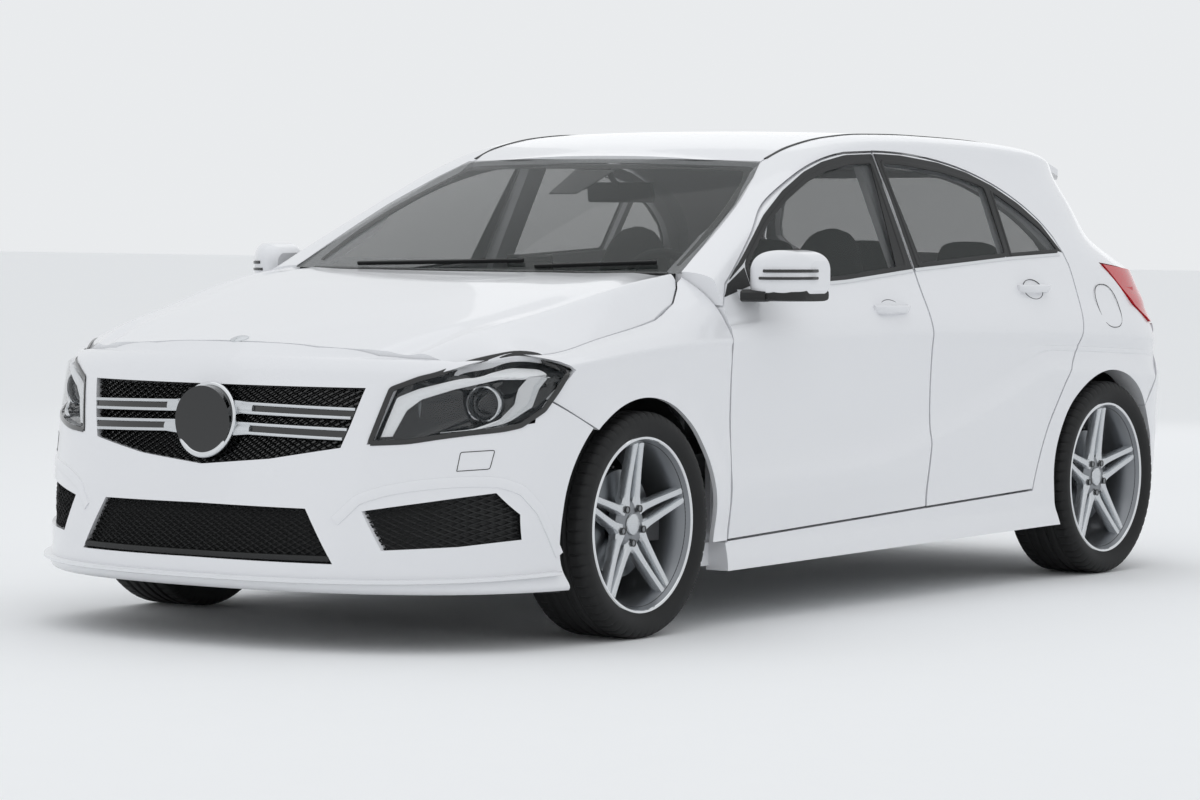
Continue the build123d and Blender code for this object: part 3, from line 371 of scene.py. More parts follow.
def turned(profile: Array | list, centre: Array, steps: int = 96) -> Mesh:
    """A closed profile turned a full circle about an axle along Y: point = centre + (r cos a, y, r sin a).

    Args:
        profile: Points (radius, distance along Y) round the section.
        centre: A point of the axle.
        steps: Steps round the axle.

    Returns:
        Points and faces.
    """
    radius, out = np.asarray(profile, float).T
    angle = np.linspace(0, FULL_TURN, steps, endpoint=False)
    grid = np.stack([np.cos(angle)[:, None] * radius, np.broadcast_to(out, (steps, len(out))),
                     np.sin(angle)[:, None] * radius], -1) + centre
    grid = np.concatenate([grid, grid[:1]])
    return grid.reshape(-1, 3), quads(steps + 1, len(out), wrap=True).tolist()


def around(count: int) -> Array:
    """Angles once round, the last one on the first."""
    return np.linspace(0, FULL_TURN, count)


def powered(value: Array, power: float) -> Array:
    """Each value's size raised to a power, with its sign kept."""
    return np.sign(value) * np.abs(value) ** power


def rounded(width: float, height: float, count: int = 12, power: float = 3) -> Array:
    """A superellipse section: |2s/width|^power + |2t/height|^power = 1.

    Args:
        width: Its size along s.
        height: Its size along t.
        count: Points round it.
        power: 2 is an ellipse, and more is squarer.

    Returns:
        Points (s, t).
    """
    a = np.linspace(0, FULL_TURN, count, endpoint=False)
    return np.stack([powered(np.cos(a), 2 / power) * width / 2, powered(np.sin(a), 2 / power) * height / 2], -1)


def joined(*parts: Mesh) -> Mesh:
    """Several meshes as one.

    Args:
        *parts: Points and faces of each.

    Returns:
        Points and faces of all.
    """
    verts, faces, start = [], [], 0
    for points, polygons in parts:
        verts.append(points)
        faces += [[v + start for v in polygon] for polygon in polygons]
        start += len(points)
    return np.concatenate(verts), faces


def flipped(part: Mesh) -> Mesh:
    """The mirror image on the car's right side."""
    return part[0] * (1, -1, 1), part[1]


def sided(part: Mesh, side: Side) -> Mesh:
    """A left-hand part as it is, or its mirror image for the right side."""
    return part if side is Side.LEFT else flipped(part)


def mirrored(part: Mesh) -> Mesh:
    """A left-hand part together with its mirror image."""
    return joined(part, flipped(part))


def stretch(points: list | Array, count: int, rounds: int = 2) -> Array:
    """Points spaced evenly along a line through corners, with its corners eased by averaging.

    Args:
        points: The line's corners.
        count: Points wanted.
        rounds: How often each point is averaged with its neighbours.

    Returns:
        The points.
    """
    corners = np.asarray(points, float)
    run = np.concatenate([[0], np.cumsum(np.linalg.norm(np.diff(corners, axis=0), axis=1))])
    steps = np.linspace(0, run[-1], count)
    line = np.stack([np.interp(steps, run, corners[:, k]) for k in range(corners.shape[1])], -1)
    for _ in range(rounds):
        line[1:-1] = (line[:-2] + 2 * line[1:-1] + line[2:]) / 4
    return line


def strip(points: Array, width: float, height: float, outward: Array | tuple) -> Mesh:
    """A thin moulding along points on a surface: its width lies in the surface and its height stands off it.

    Args:
        points: Points along its middle.
        width: Its size across the path.
        height: Its size off the surface.
        outward: Direction off the surface, one for all or one for each point.

    Returns:
        Points and faces.
    """
    outward = np.asarray(outward, float)
    run = np.gradient(points, axis=0)
    run /= np.linalg.norm(run, axis=1, keepdims=True)
    out = outward - run * np.sum(outward * run, axis=1, keepdims=True)
    out /= np.linalg.norm(out, axis=1, keepdims=True)
    return tube(points, np.cross(run, out), out, rounded(width, height, 10, 4))


# ---------------------------------------------------------------- the body's own surfaces
def along(points: list, at: Array) -> Array:
    """A smooth curve through (place, value) points: cubic pieces that never pass their end values.

    Args:
        points: The curve's (place, value) points.
        at: Places wanted.

    Returns:
        The value at each place.
    """
    places, values = np.asarray(sorted(points), float).T
    slope = np.diff(values) / np.diff(places)
    product = slope[:-1] * slope[1:]
    inside = np.where(product > 0, 2 * product / (slope[:-1] + slope[1:] + 1e-12), 0)
    tangent = np.concatenate([slope[:1], inside, slope[-1:]])
    at = np.clip(at, places[0], places[-1])
    i = np.clip(np.searchsorted(places, at, "right") - 1, 0, len(slope) - 1)
    step = places[i + 1] - places[i]
    t = (at - places[i]) / step
    return ((1 + 2 * t) * (1 - t) ** 2 * values[i] + t * (1 - t) ** 2 * step * tangent[i]
            + t * t * (3 - 2 * t) * values[i + 1] - t * t * (1 - t) * step * tangent[i + 1])


def ease(t: Array) -> Array:
    """A smooth step from 0 to 1: 3 t^2 - 2 t^3."""
    t = np.clip(t, 0, 1)
    return t * t * (3 - 2 * t)


@dataclass
class BodySurfaces:
    """The surfaces that the panels were drawn on, so that trims lie on them."""

    half_width: float = 884
    arch_start: float = 1300
    tail_start: float = -1500
    nose_power: float = 2.35
    tail_inset: float = 16
    crease_x: float = 250
    crease_height: float = 825
    shoulder_lean: float = 0.43
    screen_foot: float = 1000
    screen_rise: float = 345
    nose: Line = field(default_factory=lambda: [
        (150, 2106), (184, 2144), (215, 2146), (300, 2136), (387, 2123), (490, 2101), (640, 2069), (726, 2044),
        (770, 2014), (800, 1985), (820, 1960)])
    tail: Line = field(default_factory=lambda: [
        (200, -2040), (330, -2120), (500, -2146), (620, -2130), (700, -2090), (850, -2060), (990, -2015)])

    def nose_width(self, z: Array) -> Array:
        """Half width of the nose: drawn in at the lip and again where it turns into the bonnet."""
        return (self.half_width - 16 * ease((387.5 - z) / 190) + 10 * ease((245 - z) / 60)
                - 72 * ease((z - 738) / 40))

    def nose_at(self, angle: Array, z: Array, depth: float | Array = 0) -> Array:
        """Points of the nose by plan angle: y = width sin(angle)^(2 / 2.35).

        Args:
            angle: Plan angles in degrees from straight ahead.
            z: Heights.
            depth: How far in from the surface.

        Returns:
            The points.
        """
        y = self.nose_width(z) * powered(np.sin(np.radians(angle)), 2 / self.nose_power)
        return self.nose_points(y, z, depth)

    def nose_points(self, y: Array, z: Array, depth: float | Array = 0) -> Array:
        """x = 1300 + (tip(z) - 1300) (1 - |y / width|^2.35)^(1/3), moved in along the normal by depth.

        Args:
            y: Places across the car.
            z: Heights.
            depth: How far in from the surface.

        Returns:
            The points.
        """
        def surface(yy: Array, zz: Array) -> Array:
            """The nose's x at each place."""
            share = np.clip(np.abs(yy) / self.nose_width(zz), 0, 0.9995)
            reach = along(self.nose, zz) - self.arch_start
            return self.arch_start + reach * (1 - share ** self.nose_power) ** (1 / 3)
        return self.moved_in(surface, y, z, depth, 1)

    def tail_points(self, y: Array, z: Array, depth: float = 0) -> Array:
        """x = -1500 + (tip(z) + 1500) (1 - |y / 868|^2.6)^(1/4), moved in along the normal by depth.

        Args:
            y: Places across the car.
            z: Heights.
            depth: How far in from the surface.

        Returns:
            The points.
        """
        def surface(yy: Array, zz: Array) -> Array:
            """The tail's x at each place."""
            share = np.clip(np.abs(yy) / (self.half_width - self.tail_inset), 0, 0.9995)
            return self.tail_start + (along(self.tail, zz) - self.tail_start) * (1 - share ** 2.6) ** 0.25
        return self.moved_in(surface, y, z, depth, -1)

    def moved_in(self, surface: Callable, y: Array, z: Array, depth: float | Array, side: int) -> Array:
        """Points of x = surface(y, z), moved inwards along the normal (1, -dx/dy, -dx/dz).

        Args:
            surface: Gives x from y and z.
            y: Places across the car.
            z: Heights.
            depth: How far in from the surface.
            side: 1 for the nose and -1 for the tail.

        Returns:
            The points.
        """
        y, z = np.broadcast_arrays(np.asarray(y, float), np.asarray(z, float))
        x, step = surface(y, z), 1.5
        slope_y = (surface(y + step, z) - surface(y - step, z)) / (2 * step)
        slope_z = (surface(y, z + step) - surface(y, z - step)) / (2 * step)
        normal = side * np.stack([np.ones_like(x), -slope_y, -slope_z], -1)
        normal /= np.linalg.norm(normal, axis=-1, keepdims=True)
        return np.stack([x, y, z], -1) - normal * np.asarray(depth, float)[..., None]

    def flank_points(self, x: Array, z: Array, depth: float = 0) -> Array:
        """Left flank: y = 884 - 0.43 (z - crease) + a crown of 5 above the crease, upright below it.

        Args:
            x: Places along the car.
            z: Heights.
            depth: How far in from the surface, straight across the car.

        Returns:
            The points.
        """
        x, z = np.broadcast_arrays(np.asarray(x, float), np.asarray(z, float))
        ahead = np.clip(x - self.crease_x, 0, None)
        crease = self.crease_height - np.where(x > self.crease_x, 74 * (ahead / 1417) ** 3,
                                               23 * ((self.crease_x - x) / 1284) ** 2)
        rise = np.clip(z - crease, 0, None)
        above = self.half_width - self.shoulder_lean * rise + 5 * np.sin(math.pi * np.clip(rise / 560, 0, 1))
        y = np.where(z >= crease, above, self.half_width - 5)
        start = np.interp(z, [1000, 1110], [self.tail_start, -1300])
        reach = np.clip((start - x) / 560, 0, 0.95)
        return np.stack([x, y * (1 - reach ** 3.4) ** (1 / 2.6) - depth, z], -1)

    def screen_points(self, y: Array, z: Array, depth: float = 0) -> Array:
        """x = 935 - 745 r + 26 sin(pi r) - y^2 / 4545, where r = (z - 1000) / 345.

        Args:
            y: Places across the car.
            z: Heights.
            depth: How far in from the surface.

        Returns:
            The points.
        """
        y, z = np.broadcast_arrays(np.asarray(y, float), np.asarray(z, float))
        r = (z - self.screen_foot) / self.screen_rise
        x = 935 - 745 * r + 26 * np.sin(math.pi * np.clip(r, 0, 1)) - 2.2e-4 * y * y
        return np.stack([x - depth * 0.42, y, z - depth * 0.9], -1)


BODY = BodySurfaces()


# ---------------------------------------------------------------- front of the car
@dataclass
class DiamondMesh:
    """Woven bars that fill a grille opening, in two leaning families."""

    outline: Line
    pitch: float = 27
    slope: float = 0.52
    spread: float = 1.15
    margin: float = 6
    width: float = 4.6
    depth: float = 15
    shortest: float = 8
    step: float = 45

    def bar(self, low: float, high: float, level: float, lean: float) -> Mesh:
        """One bar, z = level + lean y from low to high, laid on the nose surface.

        Args:
            low: Its least y.
            high: Its greatest y.
            level: Its height at the middle of the car.
            lean: Its slope.

        Returns:
            Points and faces.
        """
        y = np.linspace(low, high, max(3, int((high - low) / self.step)))
        line = BODY.nose_points(y, level + lean * y, self.depth)
        side = np.cross(np.gradient(line, axis=0), FORWARD)
        side /= np.linalg.norm(side, axis=1, keepdims=True)
        return tube(line, side, FORWARD, rounded(self.width, 8, 4, 2))

    def bars(self) -> Mesh:
        """Cuts each line where it leaves the outline and lays a bar on every stretch inside.

        Returns:
            Points and faces of both families.
        """
        ring = np.asarray(self.outline, float)
        after = np.roll(ring, -1, axis=0)
        parts = []
        for lean in (self.slope, -self.slope):
            offsets = ring[:, 1] - lean * ring[:, 0]
            spacing = self.pitch * self.slope * self.spread
            for level in np.arange(offsets.min() + self.margin, offsets.max(), spacing):
                gap = offsets - level
                gap_after = after[:, 1] - lean * after[:, 0] - level
                hit = gap * gap_after < 0
                share = gap[hit] / (gap[hit] - gap_after[hit])
                ends = np.sort(ring[hit, 0] + share * (after[hit, 0] - ring[hit, 0]))
                parts += [self.bar(low, high, level, lean) for low, high in zip(ends[::2], ends[1::2])
                          if high - low > self.shortest]
        return joined(*parts)


def both(corners: Line) -> Line:
    """An outline from its left half."""
    return corners + [(-y, z) for y, z in reversed(corners) if y]


@dataclass
class FrontEnd:
    """Grille meshes, louvres, badge ring, washer flaps, intake folds and lip of the front bumper.

    Outlines are (y, z) on the nose. The fold is (plan angle in degrees, z).
    """

    upper: Line = field(default_factory=lambda: both([(0, 706), (476, 706), (450, 608), (430, 546), (225, 511),
                                                      (0, 490)]))
    lower: Line = field(default_factory=lambda: both([(0, 386), (352, 383), (440, 238), (0, 240)]))
    intake: Line = field(default_factory=lambda: [(505, 380), (661, 407), (782, 429), (818, 370), (818, 302),
                                                  (722, 287), (561, 277)])
    louvre_ends: list = field(default_factory=lambda: [((112, 457), (657, 649)), ((104, 448), (633, 626)),
                                                       ((104, 442), (603, 595)), ((100, 432), (579, 570))])
    washer_flap: Line = field(default_factory=lambda: [(709, 488), (713, 538), (774, 543), (768, 493), (709, 488)])
    fold: Line = field(default_factory=lambda: [(26, 352), (30.2, 412), (36, 437), (43, 452), (52, 461), (60, 460),
                                                (66, 436), (70.6, 380), (74, 310), (76.5, 255)])
    badge_height: float = 608
    badge_radius: float = 95
    badge_lean: float = 0.2
    disc_x: float = 1940
    disc_z: float = 830
    bar_reach: float = 430
    bar_height: float = 252
    lip_reach: float = 76
    lip_height: float = 153
    ledge_height: float = 192

    def meshes(self) -> None:
        """Fills the four openings with black diamond mesh."""
        finish_mesh("upper_mesh", DiamondMesh(self.upper, depth=14).bars(), PIANO)
        finish_mesh("lower_mesh", DiamondMesh(self.lower, pitch=25, depth=12).bars(), POLYPROPYLENE)
        intake = DiamondMesh(self.intake, pitch=25, depth=12).bars()
        finish_mesh("intake_mesh", mirrored(intake), POLYPROPYLENE)

    def louvres(self) -> None:
        """Two silver double bars on each side, each edge a rounded bead."""
        parts = []
        for places, heights in self.louvre_ends:
            y = np.linspace(*places, 20)
            line = BODY.nose_points(y, np.interp(y, places, heights), 1)
            bar = strip(line, 8.5, 9, (1.0, 0.2, 0.0))
            parts += [bar, flipped(bar)]
        finish_mesh("louvre_beads", joined(*parts), SATIN)

    def badge(self) -> None:
        """A bare chrome ring round a plain dark dish, both leaning back with the nose: x falls by 0.2 z."""
        tip = float(along(BODY.nose, np.array(self.badge_height)))
        turn = around(73)
        across, up = self.badge_radius * np.cos(turn), self.badge_radius * np.sin(turn)
        ring = np.stack([tip + 2 - up * self.badge_lean, across, self.badge_height + up], -1)
        outward = np.stack([0 * turn, np.cos(turn), np.sin(turn)], -1)
        section = rounded(17, 17, 14, 2.2)
        finish_mesh("badge_ring", tube(ring, outward, (1.0, 0, self.badge_lean), section), CHROME)
        radius, angle = np.meshgrid(np.linspace(0.5, self.badge_radius - 6, 12), turn, indexing="ij")
        up = radius * np.sin(angle)
        dish = tip + 4 - up * self.badge_lean - 8 * (radius / self.badge_radius) ** 2
        outer = np.stack([dish, radius * np.cos(angle), self.badge_height + up], -1)
        finish_mesh("badge_dish", slab(outer, outer - (6, 0, 0)), PIANO)

    def badge_wedges(self) -> None:
        """Silver wedges that carry the louvres to the ring, each bowed forward by 5 sin(pi t)."""
        wedges = []
        inner, outer = 84, 150
        y = np.linspace(inner, outer, 10)[:, None]
        t = np.linspace(0, 1, 7)[None]
        for height, level in ((44, 645), (46, 588)):
            half = np.interp(y, [inner, outer], [height * 0.42, 14])
            z = level + half * (2 * t - 1)
            face = BODY.nose_points(y, z) + np.sin(math.pi * t)[..., None] * (5, 0, 0)
            wedge = slab(face, face - (8, 0, 0))
            wedges += [wedge, flipped(wedge)]
        finish_mesh("badge_wedges", joined(*wedges), SATIN)

    def bonnet_disc(self) -> None:
        """A plain disc on the bonnet: z falls by 0.3 x under a crown of 2.5 (1 - (r / 18)^2)."""
        radius, angle = np.meshgrid([0.3, 12, 22, 27], around(41), indexing="ij")
        run = 0.9 * radius * np.cos(angle)
        z = self.disc_z - 0.3 * run + 2.5 * (1 - (radius / 18) ** 2)
        disc = np.stack([self.disc_x + run, radius * np.sin(angle), z], -1)
        finish_mesh("bonnet_disc", slab(disc, disc - (0, 0, 3)), SATIN, "bonnet")

    def bumper_lines(self) -> None:
        """Washer flap outlines, and the bar across the lower opening."""
        line = BODY.nose_points(*stretch(self.washer_flap, 60, 1).T, -0.2)
        finish_mesh("washer_flaps", mirrored(strip(line, 2.2, 1.2, (0.8, 0.55, 0.0))), POLYPROPYLENE)
        bar = BODY.nose_points(np.linspace(-self.bar_reach, self.bar_reach, 60), self.bar_height, 6)
        finish_mesh("lower_bar", strip(bar, 16, 14, FORWARD), POLYPROPYLENE)

    def lip(self) -> None:
        """The lip's dark blade, and the body-coloured ledge above it, which rises 14 towards its ends."""
        angle = np.linspace(-self.lip_reach, self.lip_reach, 140)
        outward = self.off_nose(angle, 0 * angle + 190)
        blade = BODY.nose_at(angle, self.lip_height, 26)
        finish_mesh("lip_blade", strip(blade, 9, 44, outward), POLYPROPYLENE)
        ledge = BODY.nose_at(angle, self.ledge_height + 14 * np.abs(angle / self.lip_reach) ** 3)
        finish_mesh("lip_ledge", strip(ledge, 13, 42, outward), WHITE)

    def intake_folds(self) -> None:
        """The raised fold over each side intake and down behind it."""
        angle, z = stretch(self.fold, 90, 3).T
        crease = strip(BODY.nose_at(angle, z, 1), 30, 9, self.off_nose(angle, z))
        finish_mesh("intake_folds", mirrored(crease), WHITE)

    def off_nose(self, angle: Array, z: Array) -> Array:
        """The direction off the nose surface at each place."""
        return BODY.nose_at(angle, z, -1) - BODY.nose_at(angle, z)

    def build(self) -> None:
        """Makes all the pieces of the front end."""
        self.meshes()
        self.louvres()
        self.badge()
        self.badge_wedges()
        self.bonnet_disc()
        self.bumper_lines()
        self.lip()
        self.intake_folds()


@dataclass
class Headlamp:
    """A lamp: black bowl, clear cover, ribbed light guide, silver hook and projector.

    Its lines are (plan angle in degrees, height) on the nose.
    """

    low: Line = field(default_factory=lambda: [(31.4, 560), (39, 565), (46, 579), (53, 590), (60, 597), (64.5, 607),
                                               (70, 648), (73.2, 700), (75.6, 748)])
    high: Line = field(default_factory=lambda: [(31.4, 566), (34.3, 704), (40, 733), (49, 761), (59, 787), (65, 799),
                                                (69, 797), (72.4, 790), (75.6, 760)])
    guide_outer: Line = field(default_factory=lambda: [(33.2, 578), (35.6, 684), (40, 708), (48, 733), (58, 758),
                                                       (65, 770), (70.5, 766)])
    guide_inner: Line = field(default_factory=lambda: [(35.6, 580), (38.0, 650), (41, 680), (48, 707), (58.5, 733),
                                                       (66, 747), (71.5, 753)])
    hook_outer: Line = field(default_factory=lambda: [(46, 589), (54, 594), (61.5, 608), (67.6, 655), (69, 705),
                                                      (71.6, 744)])
    hook_inner: Line = field(default_factory=lambda: [(46, 593), (54, 602), (59.6, 624), (63, 664), (63.6, 706),
                                                      (66.2, 742)])
    bezel: Line = field(default_factory=lambda: [(49, -30), (51, 0), (49, 5), (45, 6), (43, 2), (43, -30)])
    lens: Line = field(default_factory=lambda: [(0.3, 3), (14, 1.5), (28, -3), (38, -10), (43, -16), (43, -24),
                                                (0.3, -24)])
    projector: tuple[float, float, float] = (1790, 722, 664)
    aim: float = 12
    border_depth: float = 26
    bowl_depth: float = 60
    rows: int = 72
    columns: int = 22

    def area(self, depth: float, deepen: float = 0) -> Array:
        """A patch of the nose between the lamp's lines.

        Args:
            depth: How far in from the surface.
            deepen: How much deeper it lies in its middle.

        Returns:
            Grid of points.
        """
        angle = np.linspace(self.low[0][0], self.low[-1][0], self.rows)[:, None]
        low = np.interp(angle, *np.array(self.low).T)
        high = np.interp(angle, *np.array(self.high).T)
        v = np.linspace(0, 1, self.columns)[None]
        bulge = np.sin(math.pi * np.clip((angle - 36) / 38, 0, 1)) * np.sin(math.pi * v) ** 0.5
        return BODY.nose_at(angle + 0 * v, low + (high - low) * v, depth + deepen * bulge)

    def band(self, outer: Line, inner: Line, depth: float, thick: float) -> Mesh:
        """A plate between two of the lamp's lines, its middle standing proud by half its thickness.

        Args:
            outer: One edge.
            inner: The other edge.
            depth: How far its face lies in from the surface.
            thick: Its thickness.

        Returns:
            Points and faces.
        """
        a, b = stretch(outer, 60, 1)[:, None], stretch(inner, 60, 1)[:, None]
        share = np.linspace(0, 1, 9)[None, :, None]
        angle, z = np.moveaxis(a + (b - a) * share, -1, 0)
        proud = thick * 0.5 * np.sin(math.pi * share[..., 0]) + 0 * angle
        return slab(BODY.nose_at(angle, z, depth - proud), BODY.nose_at(angle, z, depth + thick + 0 * proud))

    def walls(self) -> Mesh:
        """The strip round the bowl's edge, without the faces of the two grids that it joins.

        Returns:
            Points and faces.
        """
        points, faces = slab(self.area(2), self.area(self.border_depth + 4))
        return points, faces[2 * (self.rows - 1) * (self.columns - 1):]

    def border(self) -> Mesh:
        """A black bead all round the lamp.

        Returns:
            Points and faces.
        """
        path = stretch(self.low + self.high[::-1] + self.low[:1], 220, 2)
        return strip(BODY.nose_at(*path.T, 0.5), 15, 6, (0.75, 0.6, 0.1))

    def aimed(self, profile: Line) -> Mesh:
        """A profile (radius, distance ahead) turned about the projector's own axis.

        Args:
            profile: Its points.

        Returns:
            Points and faces.
        """
        spin = np.asarray(Matrix.Rotation(math.radians(self.aim - 90), 3, "Z"))
        points, faces = turned(profile, np.zeros(3), 56)
        return points @ spin.T + self.projector, faces

    def build(self, side: Side) -> None:
        """Makes one lamp; the right one is the left one's mirror image.

        Args:
            side: The side that it is on.
        """
        deep = self.border_depth
        bowl = slab(self.area(deep, self.bowl_depth), self.area(deep + 7, self.bowl_depth))
        housing = finish_mesh(f"headlamp_housing_{side}", sided(bowl, side), PIANO)
        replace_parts(housing, f"headlamp_{side}")
        cover = slab(self.area(0.6), self.area(3.4))
        guide = self.band(self.guide_outer, self.guide_inner, 12, 7)
        hook = self.band(self.hook_outer, self.hook_inner, 14, 7)
        for name, part, look in (("headlamp_walls", self.walls(), PIANO), ("headlamp_cover", cover, LENS),
                                 ("headlamp_border", self.border(), PIANO), ("light_guide", guide, GUIDE),
                                 ("lamp_hook", hook, CHROME), ("lamp_bezel", self.aimed(self.bezel), CHROME),
                                 ("lamp_projector", self.aimed(self.lens), PIANO)):
            finish_mesh(f"{name}_{side}", sided(part, side), look)


# ---------------------------------------------------------------- sides
@dataclass
class Flanks:
    """Window seals, pillar covers, mirror sails, handles, belt strips and fuel flap line.

    Lines are (x, z) on the left flank.
    """

    front_window: Line = field(default_factory=lambda: [
        (628, 968), (108, 984), (-272, 1013), (-290, 1336), (-150, 1330), (0, 1308), (129, 1276), (285, 1220),
        (441, 1147), (560, 1072), (628, 1026), (628, 968)])
    rear_window: Line = field(default_factory=lambda: [
        (-345, 1018), (-925, 1045), (-950, 1262), (-930, 1268), (-860, 1284), (-700, 1312), (-480, 1332),
        (-350, 1336), (-345, 1018)])
    quarter_window: Line = field(default_factory=lambda: [
        (-955, 1046), (-1284, 1056), (-1258, 1092), (-1210, 1134), (-1115, 1189), (-1030, 1230), (-980, 1251),
        (-955, 1046)])
    front_covers: list = field(default_factory=lambda: [
        ([(-207, 1004), (-283, 1340)], [(-304, 1004), (-307, 1359)]),
        ([(640, 1030), (560, 1078), (441, 1150), (285, 1223), (129, 1280), (0, 1311), (-150, 1333), (-288, 1340)],
         [(742, 984), (606, 1066), (441, 1169), (285, 1243), (129, 1300), (0, 1332), (-150, 1354), (-307, 1359)])])
    rear_covers: list = field(default_factory=lambda: [
        ([(-318, 1010), (-325, 1359)], [(-372, 1012), (-350, 1340)]),
        ([(-350, 1340), (-480, 1336), (-700, 1316), (-860, 1288), (-980, 1256), (-1115, 1193), (-1210, 1138),
          (-1286, 1055)],
         [(-326, 1360), (-480, 1357), (-700, 1337), (-860, 1308), (-1000, 1266), (-1130, 1209), (-1230, 1145),
          (-1308, 1052)]),
        ([(-921, 1038), (-944, 1270)], [(-957, 1040), (-982, 1254)])])
    sail: tuple[Line, Line] = ([(640, 968), (640, 1020)], [(790, 938), (756, 974)])
    door_edge: Line = field(default_factory=lambda: [(-309.5, 1008), (-312.5, 1354)])
    front_belt: Line = field(default_factory=lambda: [(630, 957), (108, 974), (-300, 1002)])
    rear_belt: Line = field(default_factory=lambda: [(-315, 1004), (-925, 1034), (-1284, 1045)])
    front_handle: Pair = (-93, 889)
    rear_handle: Pair = (-1023, 939)
    flap_x: float = -1500
    flap_z: float = 876
    outward: tuple[float, float, float] = (0.0, 0.92, 0.4)

    def on_flank(self, points: Line, width: float, height: float, count: int, depth: float = 0,
                 rounds: int = 1) -> Mesh:
        """A moulding along a line of the left flank.

        Args:
            points: The line's corners.
            width: Its size in the surface.
            height: Its size off the surface.
            count: Points along it.
            depth: How far in from the surface its middle lies.
            rounds: How often its corners are eased.

        Returns:
            Points and faces.
        """
        path = stretch(points, count, rounds)
        return strip(BODY.flank_points(*path.T, depth), width, height, self.outward)

    def cover(self, left: Line, right: Line, thickness: float = 2.5, lift: float = 1.2) -> Mesh:
        """A thin cover between two lines.

        Args:
            left: One edge.
            right: The other edge.
            thickness: Its thickness.
            lift: How far its face stands off the surface.

        Returns:
            Points and faces.
        """
        a, b = stretch(left, 48, 0)[:, None], stretch(right, 48, 0)[:, None]
        x, z = np.moveaxis(a + (b - a) * np.linspace(0, 1, 6)[None, :, None], -1, 0)
        return slab(BODY.flank_points(x, z, -lift), BODY.flank_points(x, z, thickness - lift))

    def covers(self, edges: list) -> Mesh:
        """Several covers as one piece."""
        return joined(*(self.cover(*pair) for pair in edges))

    def handle(self, x: float, z: float) -> Mesh:
        """A bar bowed off the door: its height over the skin is 32 (1 - |s|^4) for s from -1 to 1.

        Args:
            x: Its middle along the car.
            z: Its height.

        Returns:
            Points and faces.
        """
        s = np.linspace(-1, 1, 33)
        bow = BODY.flank_points(x + 96 * s, z, 2) + (1 - np.abs(s) ** 4)[:, None] * (0, 32, 0)
        return tube(bow, (0.0, 0.4, 1.0), (0.0, 1.0, -0.4), rounded(25, 13, 14, 2.6))

    def cup(self, x: float, z: float) -> Mesh:
        """Painted shade of the hand recess: a grey oval bead round the handle, 62 by 31 from its middle.

        Args:
            x: The handle's middle along the car.
            z: The handle's height.

        Returns:
            Points and faces.
        """
        a = around(61)
        line = BODY.flank_points(x + 62 * np.cos(a), z - 3 + 31 * np.sin(a), -0.8)
        return strip(line, 2.2, 1.6, self.outward)

    def side_pieces(self, side: Side) -> None:
        """Makes one side's pieces on the doors that carry them.

        Args:
            side: The side that they are on.
        """
        front, rear = f"front_door_{side}", f"rear_door_{side}"
        for name, part, look, door in (
                ("front_seal", self.on_flank(self.front_window, 15, 5, 140), POLYPROPYLENE, front),
                ("rear_seal", self.on_flank(self.rear_window, 15, 5, 110), POLYPROPYLENE, rear),
                ("quarter_seal", self.on_flank(self.quarter_window, 13, 5, 80), POLYPROPYLENE, rear),
                ("front_pillar_cover", self.covers(self.front_covers), POLYPROPYLENE, front),
                ("rear_pillar_cover", self.covers(self.rear_covers), POLYPROPYLENE, rear),
                ("door_edge_seal", self.on_flank(self.door_edge, 4, 12, 30, 7, 0), RUBBER, front),
                ("mirror_sail", self.cover(*self.sail), POLYPROPYLENE, front),
                ("front_belt", self.on_flank(self.front_belt, 11, 4, 60, -1), CHROME, front),
                ("rear_belt", self.on_flank(self.rear_belt, 11, 4, 60, -1), CHROME, rear)):
            finish_mesh(f"{name}_{side}", sided(part, side), look, door)
        for door, place in ((front, self.front_handle), (rear, self.rear_handle)):
            finish_mesh(f"{door}_handle", sided(self.handle(*place), side), WHITE, door)
            # The grey oval bead round each handle is painted shade for its hand recess.
            finish_mesh(f"{door}_handle_cup", sided(self.cup(*place), side), RECESS_SHADE, door)

    def build(self) -> None:
        """Makes both sides, then the fuel flap line: a squarish ring, its power 2 / 0.8."""
        for side in Side:
            self.side_pieces(side)
        a = around(81)
        ring = BODY.flank_points(self.flap_x + 74 * powered(np.cos(a), 0.8),
                                 self.flap_z + 70 * powered(np.sin(a), 0.8), -3)
        finish_mesh("fuel_flap_line", strip(ring, 2.4, 1.2, self.outward), POLYPROPYLENE)


